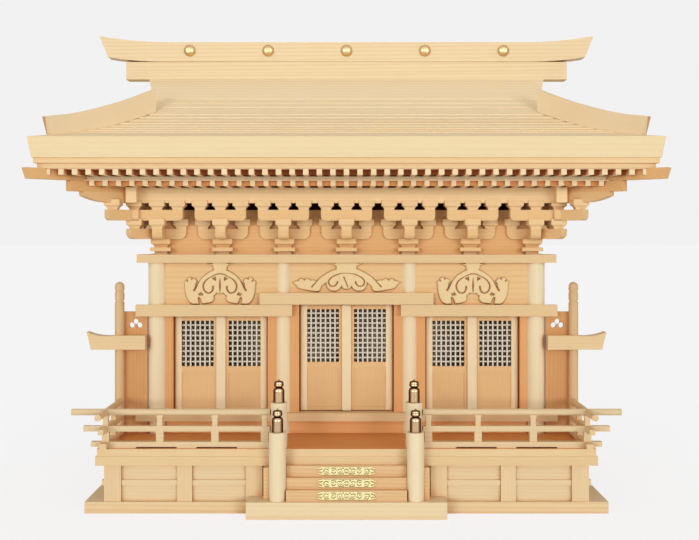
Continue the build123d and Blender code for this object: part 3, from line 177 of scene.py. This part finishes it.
def cypress(name, along, face, ring, recess=(208, 138, 76), dark=(58, 24, 8), spacing=0.0036, rings=0.22,
            fibre=0.45, reach=0.016, warm=0.75, deep=0.5):
    """A cypress finish whose grain runs along one axis of the shrine. Recess, dark, reach, warm and deep set
    its painted shade in closed corners.
    """
    material = bpy.data.materials.new(name)
    material.use_nodes = True
    nodes, links = material.node_tree.nodes, material.node_tree.links
    shader = nodes["Principled BSDF"]
    place = nodes.new("ShaderNodeTexCoord")
    turn = nodes.new("ShaderNodeMapping")
    turn.inputs["Rotation"].default_value = GRAIN_TURNS[along]
    stretch = nodes.new("ShaderNodeMapping")
    stretch.inputs["Scale"].default_value = (0.05, 1.0, 1.0)
    grain = nodes.new("ShaderNodeGroup")
    grain.node_tree = GRAIN
    links.new(place.outputs["Object"], turn.inputs["Vector"])
    links.new(turn.outputs["Vector"], stretch.inputs["Vector"])
    links.new(stretch.outputs["Vector"], grain.inputs["Place"])
    for socket, value in (
            ("Face", srgb(*face)), ("Ring", srgb(*ring)), ("Recess", srgb(*recess)), ("Deep", srgb(*dark)),
            ("Ring spacing", spacing), ("Ring strength", rings), ("Fibre strength", fibre),
            ("Recess reach", reach), ("Recess strength", warm), ("Deep strength", deep)):
        grain.inputs[socket].default_value = value
    links.new(grain.outputs["Colour"], shader.inputs["Base Color"])
    links.new(grain.outputs["Roughness"], shader.inputs["Roughness"])
    bump = nodes.new("ShaderNodeBump")
    bump.inputs["Strength"].default_value = 0.1
    bump.inputs["Distance"].default_value = 0.0002
    links.new(grain.outputs["Height"], bump.inputs["Height"])
    links.new(bump.outputs["Normal"], shader.inputs["Normal"])
    shader.inputs["Specular IOR Level"].default_value = 0.25
    return material


def finish(material, *names):
    """Gives CAD pieces their finish."""
    for name in names:
        data = frame["nodes"][name].data
        data.materials.clear()
        data.materials.append(material)


ground_wood = cypress("cypress_ground", "x", (230, 203, 158), (216, 180, 130), rings=0.45, spacing=0.005)
plate_wood = cypress("cypress_plate", "x", (234, 214, 174), (224, 196, 150), rings=0.3, spacing=0.005)
finish(ground_wood, "base_plate")
finish(plate_wood, "stair_base_plate")

# Platform skirt: square posts with thin boards set back between them, and a flat rail across each board.
# Posts stand with upright grain, boards and rails lie lengthwise.
skirt_wood = cypress("cypress_skirt", "x", (231, 208, 166), (218, 184, 138), reach=0.012)
upright_wood = cypress("cypress_upright", "z", (230, 203, 158), (218, 182, 134), rings=0.15)
post_wood = cypress("cypress_post", "z", (238, 221, 184), (228, 202, 156), spacing=0.003, rings=0.25)
finish(skirt_wood, "skirt_panels")
finish(upright_wood, "skirt_posts")

# Rim beams and floor board: long square timbers on the skirt, with a wide board nailed over them.
# The board lies under the railing and the eaves; its top is painted deep orange as shade, and its edge keeps
# the pale wood colour.
def placed(material, output, axis):
    """One axis of a texture coordinate, such as Object or Normal."""
    nodes, links = material.node_tree.nodes, material.node_tree.links
    parts = nodes.new("ShaderNodeSeparateXYZ")
    links.new(nodes["Texture Coordinate"].outputs[output], parts.inputs["Vector"])
    return parts.outputs[axis]


def laid_over(material, share, colour):
    """A plain colour laid over the grain by a share."""
    nodes, links = material.node_tree.nodes, material.node_tree.links
    shade = nodes.new("ShaderNodeRGB")
    shade.outputs[0].default_value = srgb(*colour)
    mixed = blended(nodes, links, share, nodes["Group"].outputs["Colour"], shade.outputs[0])
    links.new(mixed, nodes["Principled BSDF"].inputs["Base Color"])


beam_wood = cypress("cypress_beam", "x", (229, 200, 152), (216, 176, 124), spacing=0.003)
floor_wood = cypress("cypress_floor", "x", (230, 158, 92), (212, 134, 70), recess=(212, 126, 62),
    reach=0.03)
floor_nodes, floor_links = floor_wood.node_tree.nodes, floor_wood.node_tree.links
# Painted shade: faces that look up keep the orange shade colour, and the others get the pale wood colour.
edge_share = maths(floor_nodes, floor_links, "LESS_THAN", placed(floor_wood, "Normal", "Z"), 0.5)
laid_over(floor_wood, edge_share, (230, 200, 152))
finish(beam_wood, "rim_beams")
finish(floor_wood, "floor_board")

# Stair: three shallow steps between notched cheeks, planed from one warmer plank.
# The front edges catch the light, and the corners by the posts get an orange painted shade.
step_wood = cypress("cypress_step", "x", (229, 194, 144), (214, 168, 116), rings=0.4, reach=0.02)
finish(step_wood, "stair_steps", "stair_cheeks")


# Step fittings: thin gilt brass plates, stamped and pierced with a scrolling vine, tacked on each riser.
# Each is a raised vine of round scrolls between small leaves, and its ends run out to points.
def along_bend(start, middle, end, first, last, count=20):
    """Points and half widths along a parabola from start to end, pulled towards middle."""
    t = np.linspace(0.0, 1.0, count)[:, None]
    start, middle, end = (np.array(point, float) for point in (start, middle, end))
    points = (1 - t) ** 2 * start + 2 * t * (1 - t) * middle + t ** 2 * end
    return np.hstack([points, first + (last - first) * t])


def round_scroll(centre, outer, inner, half, turns, begin, way, count=36):
    """Points and half widths along a spiral that closes from an outer to an inner radius."""
    t = np.linspace(0.0, 1.0, count)
    radius = outer + (inner - outer) * t
    angle = math.radians(begin) + way * 2 * math.pi * turns * t
    x, z = centre[0] + radius * np.cos(angle), centre[1] + radius * np.sin(angle)
    return np.stack([x, z, np.full(count, half)], axis=1)


def mirrored(strokes):
    """Strokes with their mirror image across the middle line."""
    return strokes + [stroke * np.array([-1.0, 1.0, 1.0]) for stroke in strokes]


def depth_inside(x, z, strokes):
    """How far each place lies inside the nearest stroke: its half width less the distance to its line."""
    beads = np.vstack(strokes)
    deepest = np.full(x.shape, -1e9)
    for bead_x, bead_z, half in beads:
        deepest = np.maximum(deepest, half - np.hypot(x - bead_x, z - bead_z))
    return deepest


def carved_relief(name, material, strokes, grooves, x_range, z_range, cell, thick, edge, place, holes=()):
    """A closed relief in millimetres. Its height is thick times a quarter round of the depth inside the
    strokes over edge, less each groove's hollow, and the flat back shares the outline's points. The
    attribute "groove" holds how far each place lies in a groove."""
    across = np.arange(x_range[0], x_range[1] + cell, cell)
    upward = np.arange(z_range[0], z_range[1] + cell, cell)
    x, z = np.meshgrid(across, upward)
    inside = depth_inside(x, z, strokes)
    if len(holes):
        inside = np.minimum(inside, -depth_inside(x, z, list(holes)))
    rise = np.clip(inside / edge, 0.0, 1.0)
    height = thick * np.sqrt(1.0 - (1.0 - rise) ** 2)
    hollow = np.zeros(x.shape)
    if len(grooves):
        hollow = np.clip(depth_inside(x, z, grooves) / 0.6, 0.0, 1.0)
        height = np.where(inside > 0, np.maximum(height - 0.5 * thick * hollow, 0.25 * thick), 0.0)
    rows, columns = x.shape
    solid = (inside > 0).ravel()
    number = np.arange(rows * columns).reshape(rows, columns)
    corner = np.stack([number[:-1, :-1], number[:-1, 1:], number[1:, 1:], number[1:, :-1]],
        axis=-1).reshape(-1, 4)
    corner = corner[solid[corner].any(axis=1)]
    front = np.stack([x.ravel(), -height.ravel(), z.ravel()], axis=1)
    back = front * np.array([1.0, 0.0, 1.0])
    behind = np.where(solid, np.arange(rows * columns) + rows * columns, np.arange(rows * columns))
    faces = np.vstack([corner, behind[corner][:, ::-1]])
    used, faces = np.unique(faces, return_inverse=True)
    points = np.vstack([front, back])[used] * 0.001 + np.array(place)
    mesh = bpy.data.meshes.new(name)
    mesh.from_pydata(points.tolist(), [], faces.reshape(-1, 4).tolist())
    mesh.polygons.foreach_set("use_smooth", np.ones(len(mesh.polygons), bool))
    marks = np.concatenate([hollow.ravel(), np.zeros(hollow.size)])[used]
    mesh.attributes.new("groove", "FLOAT", "POINT").data.foreach_set("value", marks)
    mesh.materials.append(material)
    relief = bpy.data.objects.new(name, mesh)
    bpy.context.scene.collection.objects.link(relief)
    return relief


def brass(name, colour, painted_dark, rough, turned_away=0.0):
    """Gilt brass: a bright face, with painted shade where it is closed in and a painted reflection that
    darkens it where it turns away from the eye.
    """
    material = bpy.data.materials.new(name)
    material.use_nodes = True
    nodes, links = material.node_tree.nodes, material.node_tree.links
    shader = nodes["Principled BSDF"]
    # Painted shade from occlusion and a painted reflection from the facing angle both mix in the dark colour.
    hidden = nodes.new("ShaderNodeAmbientOcclusion")
    hidden.samples = 8
    hidden.inputs["Distance"].default_value = 0.003
    closed = maths(nodes, links, "MULTIPLY_ADD", hidden.outputs["AO"], -1.8, 1.5, clamp=True)
    facing = nodes.new("ShaderNodeLayerWeight").outputs["Facing"]
    side = maths(nodes, links, "MULTIPLY_ADD", facing, turned_away, -0.1 * turned_away, clamp=True)
    closed = maths(nodes, links, "MAXIMUM", closed, side)
    bright, painted_dark_node = nodes.new("ShaderNodeRGB"), nodes.new("ShaderNodeRGB")
    bright.outputs[0].default_value = srgb(*colour)
    painted_dark_node.outputs[0].default_value = srgb(*painted_dark)
    mixed = blended(nodes, links, closed, bright.outputs[0], painted_dark_node.outputs[0])
    links.new(mixed, shader.inputs["Base Color"])
    shader.inputs["Metallic"].default_value = 1.0
    shader.inputs["Roughness"].default_value = rough
    return material


# The fittings' hollows get painted shade from the brass finish.
leaf_brass = brass("gilt_leaf", (244, 236, 182), (150, 112, 50), 0.45)
vine = [along_bend((-24, 4.8), (0, 4.8), (24, 4.8), 0.9, 0.9, 60)]
for index, centre in enumerate((7.0, 14.5, 22.0)):
    vine += mirrored([round_scroll((centre, 4.8), 3.7, 1.0, 0.75, 1.4, 200 if index % 2 else 20, 1)])
    for lift in (1.3, 8.3):
        leaf = along_bend((centre + 3.2, lift), (centre + 3.8, 4.8), (centre + 4.4, lift), 1.3, 0.8, 8)
        vine += mirrored([leaf])
vine += [round_scroll((0, 4.8), 3.4, 3.4, 0.9, 1.0, 0, 1),
    round_scroll((0, 4.8), 0.6, 0.2, 1.2, 1.0, 0, 1, 6)]
for low in (0.8, 8.8):
    vine.append(along_bend((-26, low), (0, low), (26, low), 0.55, 0.55, 80))
vine += mirrored([
    along_bend((26, 1.2), (30, 1.4), (32.4, 2.8), 1.2, 0.5),
    along_bend((26, 8.4), (30, 8.2), (32.4, 6.8), 1.2, 0.5),
    along_bend((27, 4.8), (29, 4.8), (31, 4.8), 1.6, 0.5, 8)])
for index, (front, foot) in enumerate(((-0.1922, 0.0202), (-0.1857, 0.03237), (-0.1792, 0.04453))):
    fitting = carved_relief(
        f"step_fitting_{index}", leaf_brass, vine, [], (-33.0, 33.0), (0.0, 9.6), 0.3, 0.6, 0.5,
        (0.0, front, foot))
    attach(fitting, "shrine")
    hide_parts("step_fittings")

# Newel posts and caps: turned posts at the foot and the head of the stair, with pulled brass onion caps.
# The caps are polished; a painted reflection makes them dark at the sides and bright along the middle, and
# their hollows get painted shade.
cap_brass = brass("gilt_cap", (240, 204, 160), (98, 44, 14), 0.2, 4.5)
finish(post_wood, "newel_posts")
finish(cap_brass, "newel_caps")

# Railing: a square foot beam on pads, a flat middle rail, small struts and a round top rail.
# The parts are housed into each other, and their long tips cross at the corners.
rail_wood = cypress("cypress_rail", "x", (228, 204, 162), (216, 178, 128), reach=0.009)
side_rail_wood = cypress("cypress_side_rail", "y", (228, 200, 154), (216, 174, 124), reach=0.009)
finish(rail_wood, "railing_front_left", "railing_front_right")
finish(side_rail_wood, "railing_side_left", "railing_side_right")

# Side screens: a ringed post, a thin board pierced with a trefoil, and a flared beam across both.
# The board is housed in the corner column, and its darker orange colour is painted shade from the eaves.
screen_wood = cypress("cypress_screen", "z", (212, 160, 104), (196, 132, 76), reach=0.02)
screen_post_wood = cypress("cypress_screen_post", "z", (218, 186, 142), (206, 162, 112), rings=0.15)
finish(screen_wood, "side_screen_panels")
finish(screen_post_wood, "side_screen_posts")
finish(beam_wood, "side_screen_beams")

# Frame: turned columns on the floor, sill beams and head beams notched round them, riser boards below.
# The inner floor, the walls and the ceiling close the body; far-reaching painted shade darkens it while its
# doors are shut.
# The riser boards are painted orange as shade under the floor.
riser_wood = cypress("cypress_riser", "x", (242, 186, 122), (224, 160, 94), reach=0.02)
room_wood = cypress("cypress_room", "x", (214, 168, 112), (196, 140, 84), recess=(120, 70, 34), reach=0.16,
    warm=1.0, deep=1.0)
wall_wood = cypress("cypress_wall", "z", (232, 206, 160), (214, 176, 122), recess=(140, 86, 44),
    reach=0.12, warm=0.9, deep=1.0)
finish(post_wood, "columns")
finish(beam_wood, "sill_beams", "head_tie_beams")
finish(riser_wood, "riser_boards")
finish(room_wood, "inner_floor", "ceiling_board")
finish(wall_wood, "outer_walls")

# Doors: frames with a panel below and a lattice of halved bars above, turning on wooden pins.
# Bars are pale and thin, with sides painted dark as shade; the panels have straight upright grain.
DOOR_TAN = (230, 190, 136)
DOOR_TAN_RING = (216, 166, 108)
DOOR_STILE = (236, 216, 176)
DOOR_BAR = (222, 216, 198)
DOOR_BAR_SIDE_SHADE = (64, 44, 28)
HALF_BAY = 0.0762
BATTEN_EDGE = 0.0056
LATTICE_EDGES = (0.0091, 0.0479)


def door_finish(name, window):
    """Tan panels and rails, with paler stiles and batten and grey-white lattice bars, whose sides get painted
    dark shade.
    Each stands at its own distance from the middle of its bay, which is a triangle wave of X as long as a
    bay."""
    material = cypress(name, "z", DOOR_TAN, DOOR_TAN_RING, spacing=0.0026, reach=0.01, deep=0.3)
    nodes, links = material.node_tree.nodes, material.node_tree.links

    def step(operation, *values):
        return maths(nodes, links, operation, *values)

    def shade(colour):
        node = nodes.new("ShaderNodeRGB")
        node.outputs[0].default_value = srgb(*colour)
        return node.outputs[0]

    away = step("PINGPONG", step("ABSOLUTE", placed(material, "Object", "X")), HALF_BAY)
    level = placed(material, "Object", "Z")
    beyond = step("GREATER_THAN", away, LATTICE_EDGES[1])
    pale = step("MAXIMUM", beyond, step("LESS_THAN", away, BATTEN_EDGE))
    within = step("MULTIPLY", step("GREATER_THAN", away, LATTICE_EDGES[0]),
        step("LESS_THAN", away, LATTICE_EDGES[1]))
    height = step("MULTIPLY", step("GREATER_THAN", level, window[0]), step("LESS_THAN", level, window[1]))
    inside = step("MULTIPLY", within, height)
    face = blended(nodes, links, pale, shade(DOOR_TAN), shade(DOOR_STILE))
    face = blended(nodes, links, inside, face, shade(DOOR_BAR))
    ring = blended(nodes, links, step("MAXIMUM", pale, inside), shade(DOOR_TAN_RING), face)
    # Painted shade: inside the lattice, faces that do not look forward get the dark shade colour.
    edgewise = step("LESS_THAN", step("ABSOLUTE", placed(material, "Normal", "Y")), 0.5)
    shaded = step("MULTIPLY", inside, edgewise)
    bar_side_shade = shade(DOOR_BAR_SIDE_SHADE)
    links.new(blended(nodes, links, shaded, face, bar_side_shade), nodes["Group"].inputs["Face"])
    links.new(blended(nodes, links, shaded, ring, bar_side_shade), nodes["Group"].inputs["Ring"])
    return material


centre_door_wood = door_finish("cypress_centre_door", (0.1571, 0.2213))
side_door_wood = door_finish("cypress_side_door", (0.1519, 0.2072))
finish(centre_door_wood, "door_centre_bay_left_leaf", "door_centre_bay_right_leaf")
for bay in ("left", "right"):
    finish(side_door_wood, f"door_{bay}_bay_left_leaf", f"door_{bay}_bay_right_leaf")
# The jambs are painted orange as shade in their recess, and the door heads take the room finish with its dark
# painted shade.
jamb_wood = cypress("cypress_jamb", "z", (226, 168, 110), (210, 144, 86), rings=0.15, reach=0.02)
finish(jamb_wood, "door_jambs")
finish(room_wood, "door_heads")

# Lintels and transom boards: beams over the doors, nailed on the columns, with thin boards above them.
# The boards sit in the shade of the eaves, behind the carvings.
transom_wood = cypress("cypress_transom", "x", (232, 196, 142), (218, 172, 116), reach=0.02, rings=0.3,
    spacing=0.006)
finish(beam_wood, "lintel_beams")
finish(transom_wood, "transom_boards")

# Carvings: scrolled struts cut and carved from one board each, with a flared neck, two arms and leaves.
# They stand on the lintels against the transom boards, under the head beam.
carving_wood = cypress("cypress_carving", "z", (234, 208, 158), (222, 184, 128), rings=0.1,
    recess=(176, 98, 42), reach=0.004, warm=1.0)
carving_nodes = carving_wood.node_tree.nodes
# Painted shade: the grooves are laid over with dark brown, and closed corners turn orange.
groove_depth = carving_nodes.new("ShaderNodeAttribute")
groove_depth.attribute_name = "groove"
groove_shade_share = maths(carving_nodes, carving_wood.node_tree.links, "MULTIPLY", groove_depth.outputs["Fac"], 0.85)
laid_over(carving_wood, groove_shade_share, (150, 84, 38))
centre_body = [along_bend((0, 36), (0, 30), (0, 24), 13.2, 11.4),
    along_bend((0, 18), (0, 14), (0, 10), 8, 6.5)]
centre_body += mirrored([
    along_bend((8, 33), (13, 34.4), (18.5, 35.6), 3.4, 1.0, 8),
    along_bend((8, 25), (26, 20), (38, 5.5), 5.0, 4.5),
    along_bend((15, 11), (15, 11.1), (15, 11.2), 9.6, 9.6, 3),
    along_bend((36, 6.5), (46, 7.2), (56, 9), 5.6, 4.4),
    along_bend((39, 10.5), (40, 10.8), (41, 11), 4.8, 4.6, 3),
    along_bend((47, 13), (47.2, 13), (47.4, 13), 4.2, 4.2, 3),
    along_bend((54.4, 13), (54.6, 13), (54.8, 13), 4.2, 4.2, 3),
    along_bend((59.4, 11.6), (61.5, 11.6), (64, 12.8), 3.2, 0.8, 8)])
centre_holes = [along_bend((-3, 0), (0, 1.8), (3, 0), 3.2, 3.2, 8)] + mirrored([
    along_bend((27.4, 0), (27.8, 0.6), (28.2, 1), 3.4, 3.2, 3),
    along_bend((9, 0), (9, 0.3), (9, 0.5), 1.1, 1.1, 3),
    along_bend((15.4, 0), (15.6, 0.3), (15.8, 0.5), 1.3, 1.3, 3)])
centre_lines = [along_bend((-3.2, 18.6), (-0.8, 13), (1.6, 6.8), 1.0, 0.8)] + mirrored([
    along_bend((14, 20.5), (21.6, 17.2), (21.6, 12.5), 0.9, 1.1, 14),
    along_bend((0, 23.4), (8, 23.8), (14, 20.5), 0.6, 0.9),
    along_bend((21.6, 12.5), (21, 7.4), (16, 7.8), 1.1, 0.9, 12),
    along_bend((16, 7.8), (12, 8.4), (10.8, 13), 0.9, 1.2, 12),
    along_bend((32, 17.4), (37, 12.6), (41.6, 7.2), 0.5, 1.1, 14),
    along_bend((50.8, 17), (50.9, 16), (51, 15), 0.9, 0.6, 4),
    along_bend((58, 15.4), (57.8, 14.6), (57.6, 14), 0.9, 0.6, 4)])
side_body = [along_bend((0, 50), (0, 44), (0, 38), 9.4, 7.0),
    along_bend((0, 34), (0, 26), (0, 18), 5.4, 5.4)]
side_body += mirrored([
    along_bend((5, 47.4), (9, 48.4), (14.6, 49.6), 2.6, 0.8, 8),
    along_bend((3, 38.5), (20, 34), (26, 17), 4.6, 4.2),
    along_bend((13, 20.5), (13, 20.6), (13, 20.7), 11.4, 11.4, 3),
    along_bend((31, 7.4), (36, 12), (36, 24), 7.4, 6.6),
    along_bend((31.4, 28), (31.5, 28.1), (31.6, 28.2), 3.6, 3.6, 3),
    along_bend((36.4, 29.2), (36.5, 29.3), (36.6, 29.4), 3.8, 3.8, 3),
    along_bend((40, 26), (40.1, 26.2), (40.2, 26.4), 3.2, 3.2, 3),
    along_bend((27, 5.4), (20, 6), (13, 8), 5.2, 6.0)])
side_holes = [along_bend((0, 3), (0, 5), (0, 8), 5.6, 2.6, 8)] + mirrored([
    along_bend((23.4, 0), (24, 4), (25.4, 7.6), 2.0, 1.0, 8),
    along_bend((5, 0), (6, 1), (7, 1.2), 3.0, 2.4, 3),
    along_bend((11, 0), (11.2, 0.4), (11.4, 0.8), 1.4, 1.4, 3)])
side_lines = [
    along_bend((0, 32.6), (0, 28), (0, 22.5), 0.5, 1.5, 12),
    along_bend((0, 22.5), (0, 18), (0, 13.6), 1.5, 0.5, 12)]
side_lines += mirrored([
    along_bend((9.5, 33.8), (19, 30), (20.2, 22.5), 0.8, 1.3, 16),
    along_bend((0, 37.2), (5, 37), (9.5, 33.8), 0.9, 0.8, 12),
    along_bend((20.2, 22.5), (19.8, 15), (14, 13.9), 1.3, 1.0, 14),
    along_bend((14, 13.9), (8.5, 14), (8.3, 21.5), 1.0, 1.4, 14),
    along_bend((25, 28.4), (28, 23), (31, 17.4), 0.7, 1.5, 16),
    along_bend((33.9, 32.4), (34, 31), (34, 30), 1.0, 0.7, 4),
    along_bend((39.8, 29.6), (39.2, 28.6), (38.8, 27.8), 1.0, 0.7, 4)])
carvings = [carved_relief(
    "centre_carving", carving_wood, centre_body, centre_lines, (-65.0, 65.0), (0.0, 36.0), 0.5, 3.4, 1.6,
    (0.0, -0.082, 0.2419), centre_holes)]
for side in (-1, 1):
    carvings.append(carved_relief(
        f"side_carving_{side}", carving_wood, side_body, side_lines, (-44.0, 44.0), (0.0, 50.4), 0.5,
        3.4, 1.6,
        (side * 0.1524, -0.082, 0.2275), side_holes))
for carved in carvings:
    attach(carved, "shrine")
    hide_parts("carvings")

# Bracket sets: bearing blocks and rounded arms, seated in each other and in the purlin without glue.
# Their fronts catch the light, and the spaces between them run from orange to black, partly from painted
# shade.
bracket_wood = cypress("cypress_bracket", "x", (236, 198, 142), (222, 172, 112), rings=0.15, reach=0.02,
    warm=0.5)
block_wood = cypress("cypress_block", "y", (240, 208, 156), (228, 184, 128), rings=0.15, reach=0.02,
    warm=0.4)
frieze_wood = cypress("cypress_frieze", "x", (230, 184, 126), (216, 160, 98), reach=0.03, warm=0.5,
    deep=0.3)
finish(bracket_wood, "bracket_arms", "bracket_bases")
finish(block_wood, "bracket_blocks")
finish(frieze_wood, "frieze_boards")

# Purlins and rafters: beams on the brackets carry two tiers of square rafters under thin boarding.
# The sawn ends are nearly white, and the boarding between them gets deep orange painted shade.
rafter_wood = cypress("cypress_rafter", "y", (242, 218, 176), (230, 194, 144), rings=0.15, reach=0.014,
    recess=(196, 96, 34), warm=0.95, deep=0.0)
# Purlins and rafter bearers are painted paler than the wood, as painted light against the shade under the
# eaves.
purlin_wood = cypress("cypress_purlin", "x", (248, 218, 166), (236, 198, 142), warm=0.1, deep=0.0)
bearer_wood = cypress("cypress_bearer", "x", (255, 236, 190), (250, 218, 164), warm=0.0, deep=0.0)
finish(purlin_wood, "eave_purlins")
finish(bearer_wood, "rafter_bearers")
corner_wood = cypress("cypress_corner", "x", (230, 182, 122), (216, 158, 98), rings=0.1, reach=0.014,
    deep=0.0)
finish(rafter_wood, "base_rafters", "flying_rafters")
finish(corner_wood, "corner_rafters")



# Gap slats: thin slats let in between the rafters of each tier, which close the gaps under the boarding.
# They stand back from the sawn ends, and their colours are painted shade: bright orange for the lower ones
# and dark brown for the upper ones.
def slat_ring(name, material, out, z_range, thick=0.0012):
    """Four slats as one closed band. Its points are (sx (w + o), sy (d + o), z) over the four corners and the
    four corners of its section, where o is the distance out from the wall lines w and d."""
    section = np.array([(out, z_range[0]), (out, z_range[1]), (out - thick, z_range[1]),
        (out - thick, z_range[0])])
    turns = np.array([(-1, -1), (1, -1), (1, 1), (-1, 1)], float)
    across = turns[:, None, 0] * (WALL_LINE_X + section[None, :, 0])
    along = turns[:, None, 1] * (WALL_LINE_Y + section[None, :, 0])
    points = np.stack([across, along, np.broadcast_to(section[None, :, 1], (4, 4))], axis=-1).reshape(-1, 3)
    corner, side = (axis.ravel() for axis in np.meshgrid(np.arange(4), np.arange(4), indexing="ij"))
    following, above = (corner + 1) % 4, (side + 1) % 4
    faces = np.stack([
        corner * 4 + side, following * 4 + side, following * 4 + above, corner * 4 + above], axis=1)
    mesh = bpy.data.meshes.new(name)
    mesh.from_pydata(points.tolist(), [], faces.tolist())
    mesh.materials.append(material)
    ring = bpy.data.objects.new(name, mesh)
    bpy.context.scene.collection.objects.link(ring)
    return ring


WALL_LINE_X = 0.2286
WALL_LINE_Y = 0.0762
lower_slat_wood = cypress("cypress_lower_slat", "x", (232, 166, 98), (216, 142, 76), warm=0.0, deep=0.0)
upper_slat_wood = cypress("cypress_upper_slat", "x", (158, 90, 40), (134, 70, 28), warm=0.0, deep=0.0)
for ring in (
        slat_ring("lower_gap_slats", lower_slat_wood, 0.0700, (0.3674, 0.3729)),
        slat_ring("upper_gap_slats", upper_slat_wood, 0.0960, (0.3782, 0.3841))):
    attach(ring, "shrine")

# Eave edge: two thin stepped strips under a deep leaning board, mitred at the corners.
# The board has long straight grain and a pale face.
edge_wood = cypress("cypress_edge", "x", (238, 216, 170), (226, 192, 140), spacing=0.0052, rings=0.16)
strip_wood = cypress("cypress_strip", "x", (236, 206, 156), (220, 178, 122), rings=0.3, reach=0.01)
finish(edge_wood, "eave_fascia")
finish(strip_wood, "eave_strips")

# Roof: hipped below and gabled above, built up of thin planed courses that step at each edge.
# Each course is a board on its own, so that pale and tan rows follow each other up the slope.
roof_wood = cypress("cypress_roof", "x", (240, 218, 178), (222, 190, 142), spacing=0.0075, rings=0.4,
    reach=0.006)
finish(roof_wood, "roof_lower", "roof_upper")
# The gable walls take the wall finish, with its far-reaching painted shade.
finish(wall_wood, "gable_walls")
hip_wood = cypress("cypress_hip", "x", (236, 212, 172), (222, 188, 140), rings=0.06, reach=0.006)
HIP_END = 0.3335
hip_nodes, hip_links = hip_wood.node_tree.nodes, hip_wood.node_tree.links
from_middle = maths(hip_nodes, hip_links, "ABSOLUTE", placed(hip_wood, "Object", "X"))
laid_over(hip_wood, maths(hip_nodes, hip_links, "GREATER_THAN", from_middle, HIP_END), (206, 152, 104))
finish(hip_wood, "hip_ridges")

# Ridge: a deep board with a strip at its foot, under a cap board that sweeps up at both ends.
# Five domed brass studs are tacked along the front of the cap.
ridge_wood = cypress("cypress_ridge", "x", (236, 214, 172), (222, 190, 140), rings=0.4)
# The studs take painted shade in their hollows and a painted reflection that darkens their sides.
stud_brass = brass("gilt_stud", (236, 206, 150), (150, 92, 44), 0.3, 1.2)
finish(ridge_wood, "ridge_base_board", "ridge_cap_board")
finish(stud_brass, "ridge_studs")

# Stage: a pale floor, a white surround and soft lamps from the left and the right, near eye level.
# The camera sees the floor and the surround nearly white, and a faint shadow stays round the ground plate.
CAMERA_PLACE = (0.0, -1.2892, 0.3114)
FOCAL_PIXELS = 1000.0
PICTURE_WIDE = 699
PICTURE_MIDDLE = (349.5, 270.0)
SIGHT_POINT = (346.5, 235.0)
camera_data = bpy.data.cameras.new("camera")
camera_data.lens = camera_data.sensor_width * FOCAL_PIXELS / PICTURE_WIDE
camera_data.shift_x = (PICTURE_MIDDLE[0] - SIGHT_POINT[0]) / PICTURE_WIDE
camera_data.shift_y = (SIGHT_POINT[1] - PICTURE_MIDDLE[1]) / PICTURE_WIDE
camera = bpy.data.objects.new("camera", camera_data)
camera.location = CAMERA_PLACE
camera.rotation_euler = (math.pi / 2, 0.0, 0.0)
bpy.context.scene.collection.objects.link(camera)
bpy.context.scene.camera = camera

FLOOR_HALF = 30.0
PAPER_GREY = (0.88, 0.88, 0.88, 1)
PAPER_SEEN = (1.0, 0.995, 0.998, 1)
PAPER_SEEN_SHARE = 0.78
floor_mesh = bpy.data.meshes.new("studio_floor")
floor_corners = [(x * FLOOR_HALF, y * FLOOR_HALF, 0) for x, y in ((-1, -1), (1, -1), (1, 1), (-1, 1))]
floor_mesh.from_pydata(floor_corners, [], [(0, 1, 2, 3)])
studio_floor = bpy.data.objects.new("studio_floor", floor_mesh)
bpy.context.scene.collection.objects.link(studio_floor)
studio_floor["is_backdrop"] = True
paper = bpy.data.materials.new("paper_floor")
paper.use_nodes = True
paper_nodes, paper_links = paper.node_tree.nodes, paper.node_tree.links
paper_nodes.clear()
paper_face, paper_shown = paper_nodes.new("ShaderNodeBsdfDiffuse"), paper_nodes.new("ShaderNodeEmission")
paper_face.inputs["Color"].default_value = PAPER_GREY
paper_shown.inputs["Color"].default_value = PAPER_SEEN
sight = paper_nodes.new("ShaderNodeLightPath").outputs["Is Camera Ray"]
straight = maths(paper_nodes, paper_links, "MULTIPLY", sight, PAPER_SEEN_SHARE)
paper_mix, paper_out = paper_nodes.new("ShaderNodeMixShader"), paper_nodes.new("ShaderNodeOutputMaterial")
paper_links.new(straight, paper_mix.inputs[0])
paper_links.new(paper_face.outputs[0], paper_mix.inputs[1])
paper_links.new(paper_shown.outputs[0], paper_mix.inputs[2])
paper_links.new(paper_mix.outputs[0], paper_out.inputs[0])
floor_mesh.materials.append(paper)

SKY_STRENGTH = 0.62
BACKDROP = (0.892, 0.886, 0.886, 1)
LAMP_ENERGY = 1.06
LAMP_SOFTNESS = 22
LAMP_TILT = 86
LAMP_TURN = 28
world = bpy.data.worlds.new("studio")
world.use_nodes = True
bpy.context.scene.world = world
nodes, links = world.node_tree.nodes, world.node_tree.links
nodes.clear()
out = nodes.new("ShaderNodeOutputWorld")
light = nodes.new("ShaderNodeBackground")
light.inputs["Color"].default_value = (1, 1, 1, 1)
light.inputs["Strength"].default_value = SKY_STRENGTH
seen = nodes.new("ShaderNodeBackground")
seen.inputs["Color"].default_value = BACKDROP
seen.inputs["Strength"].default_value = 1.0
path = nodes.new("ShaderNodeLightPath")
either = maths(nodes, links, "MAXIMUM", path.outputs["Is Camera Ray"], path.outputs["Is Glossy Ray"])
mix = nodes.new("ShaderNodeMixShader")
links.new(either, mix.inputs[0])
links.new(light.outputs[0], mix.inputs[1])
links.new(seen.outputs[0], mix.inputs[2])
links.new(mix.outputs[0], out.inputs[0])

for side in (-1, 1):
    lamp = bpy.data.lights.new(f"lamp_{side}", "SUN")
    lamp.energy = LAMP_ENERGY
    lamp.angle = math.radians(LAMP_SOFTNESS)
    holder = bpy.data.objects.new(f"lamp_{side}", lamp)
    holder.rotation_euler = (math.radians(LAMP_TILT), 0, math.radians(LAMP_TURN * side))
    bpy.context.scene.collection.objects.link(holder)

bpy.context.scene.view_settings.view_transform = "Standard"

low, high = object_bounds()
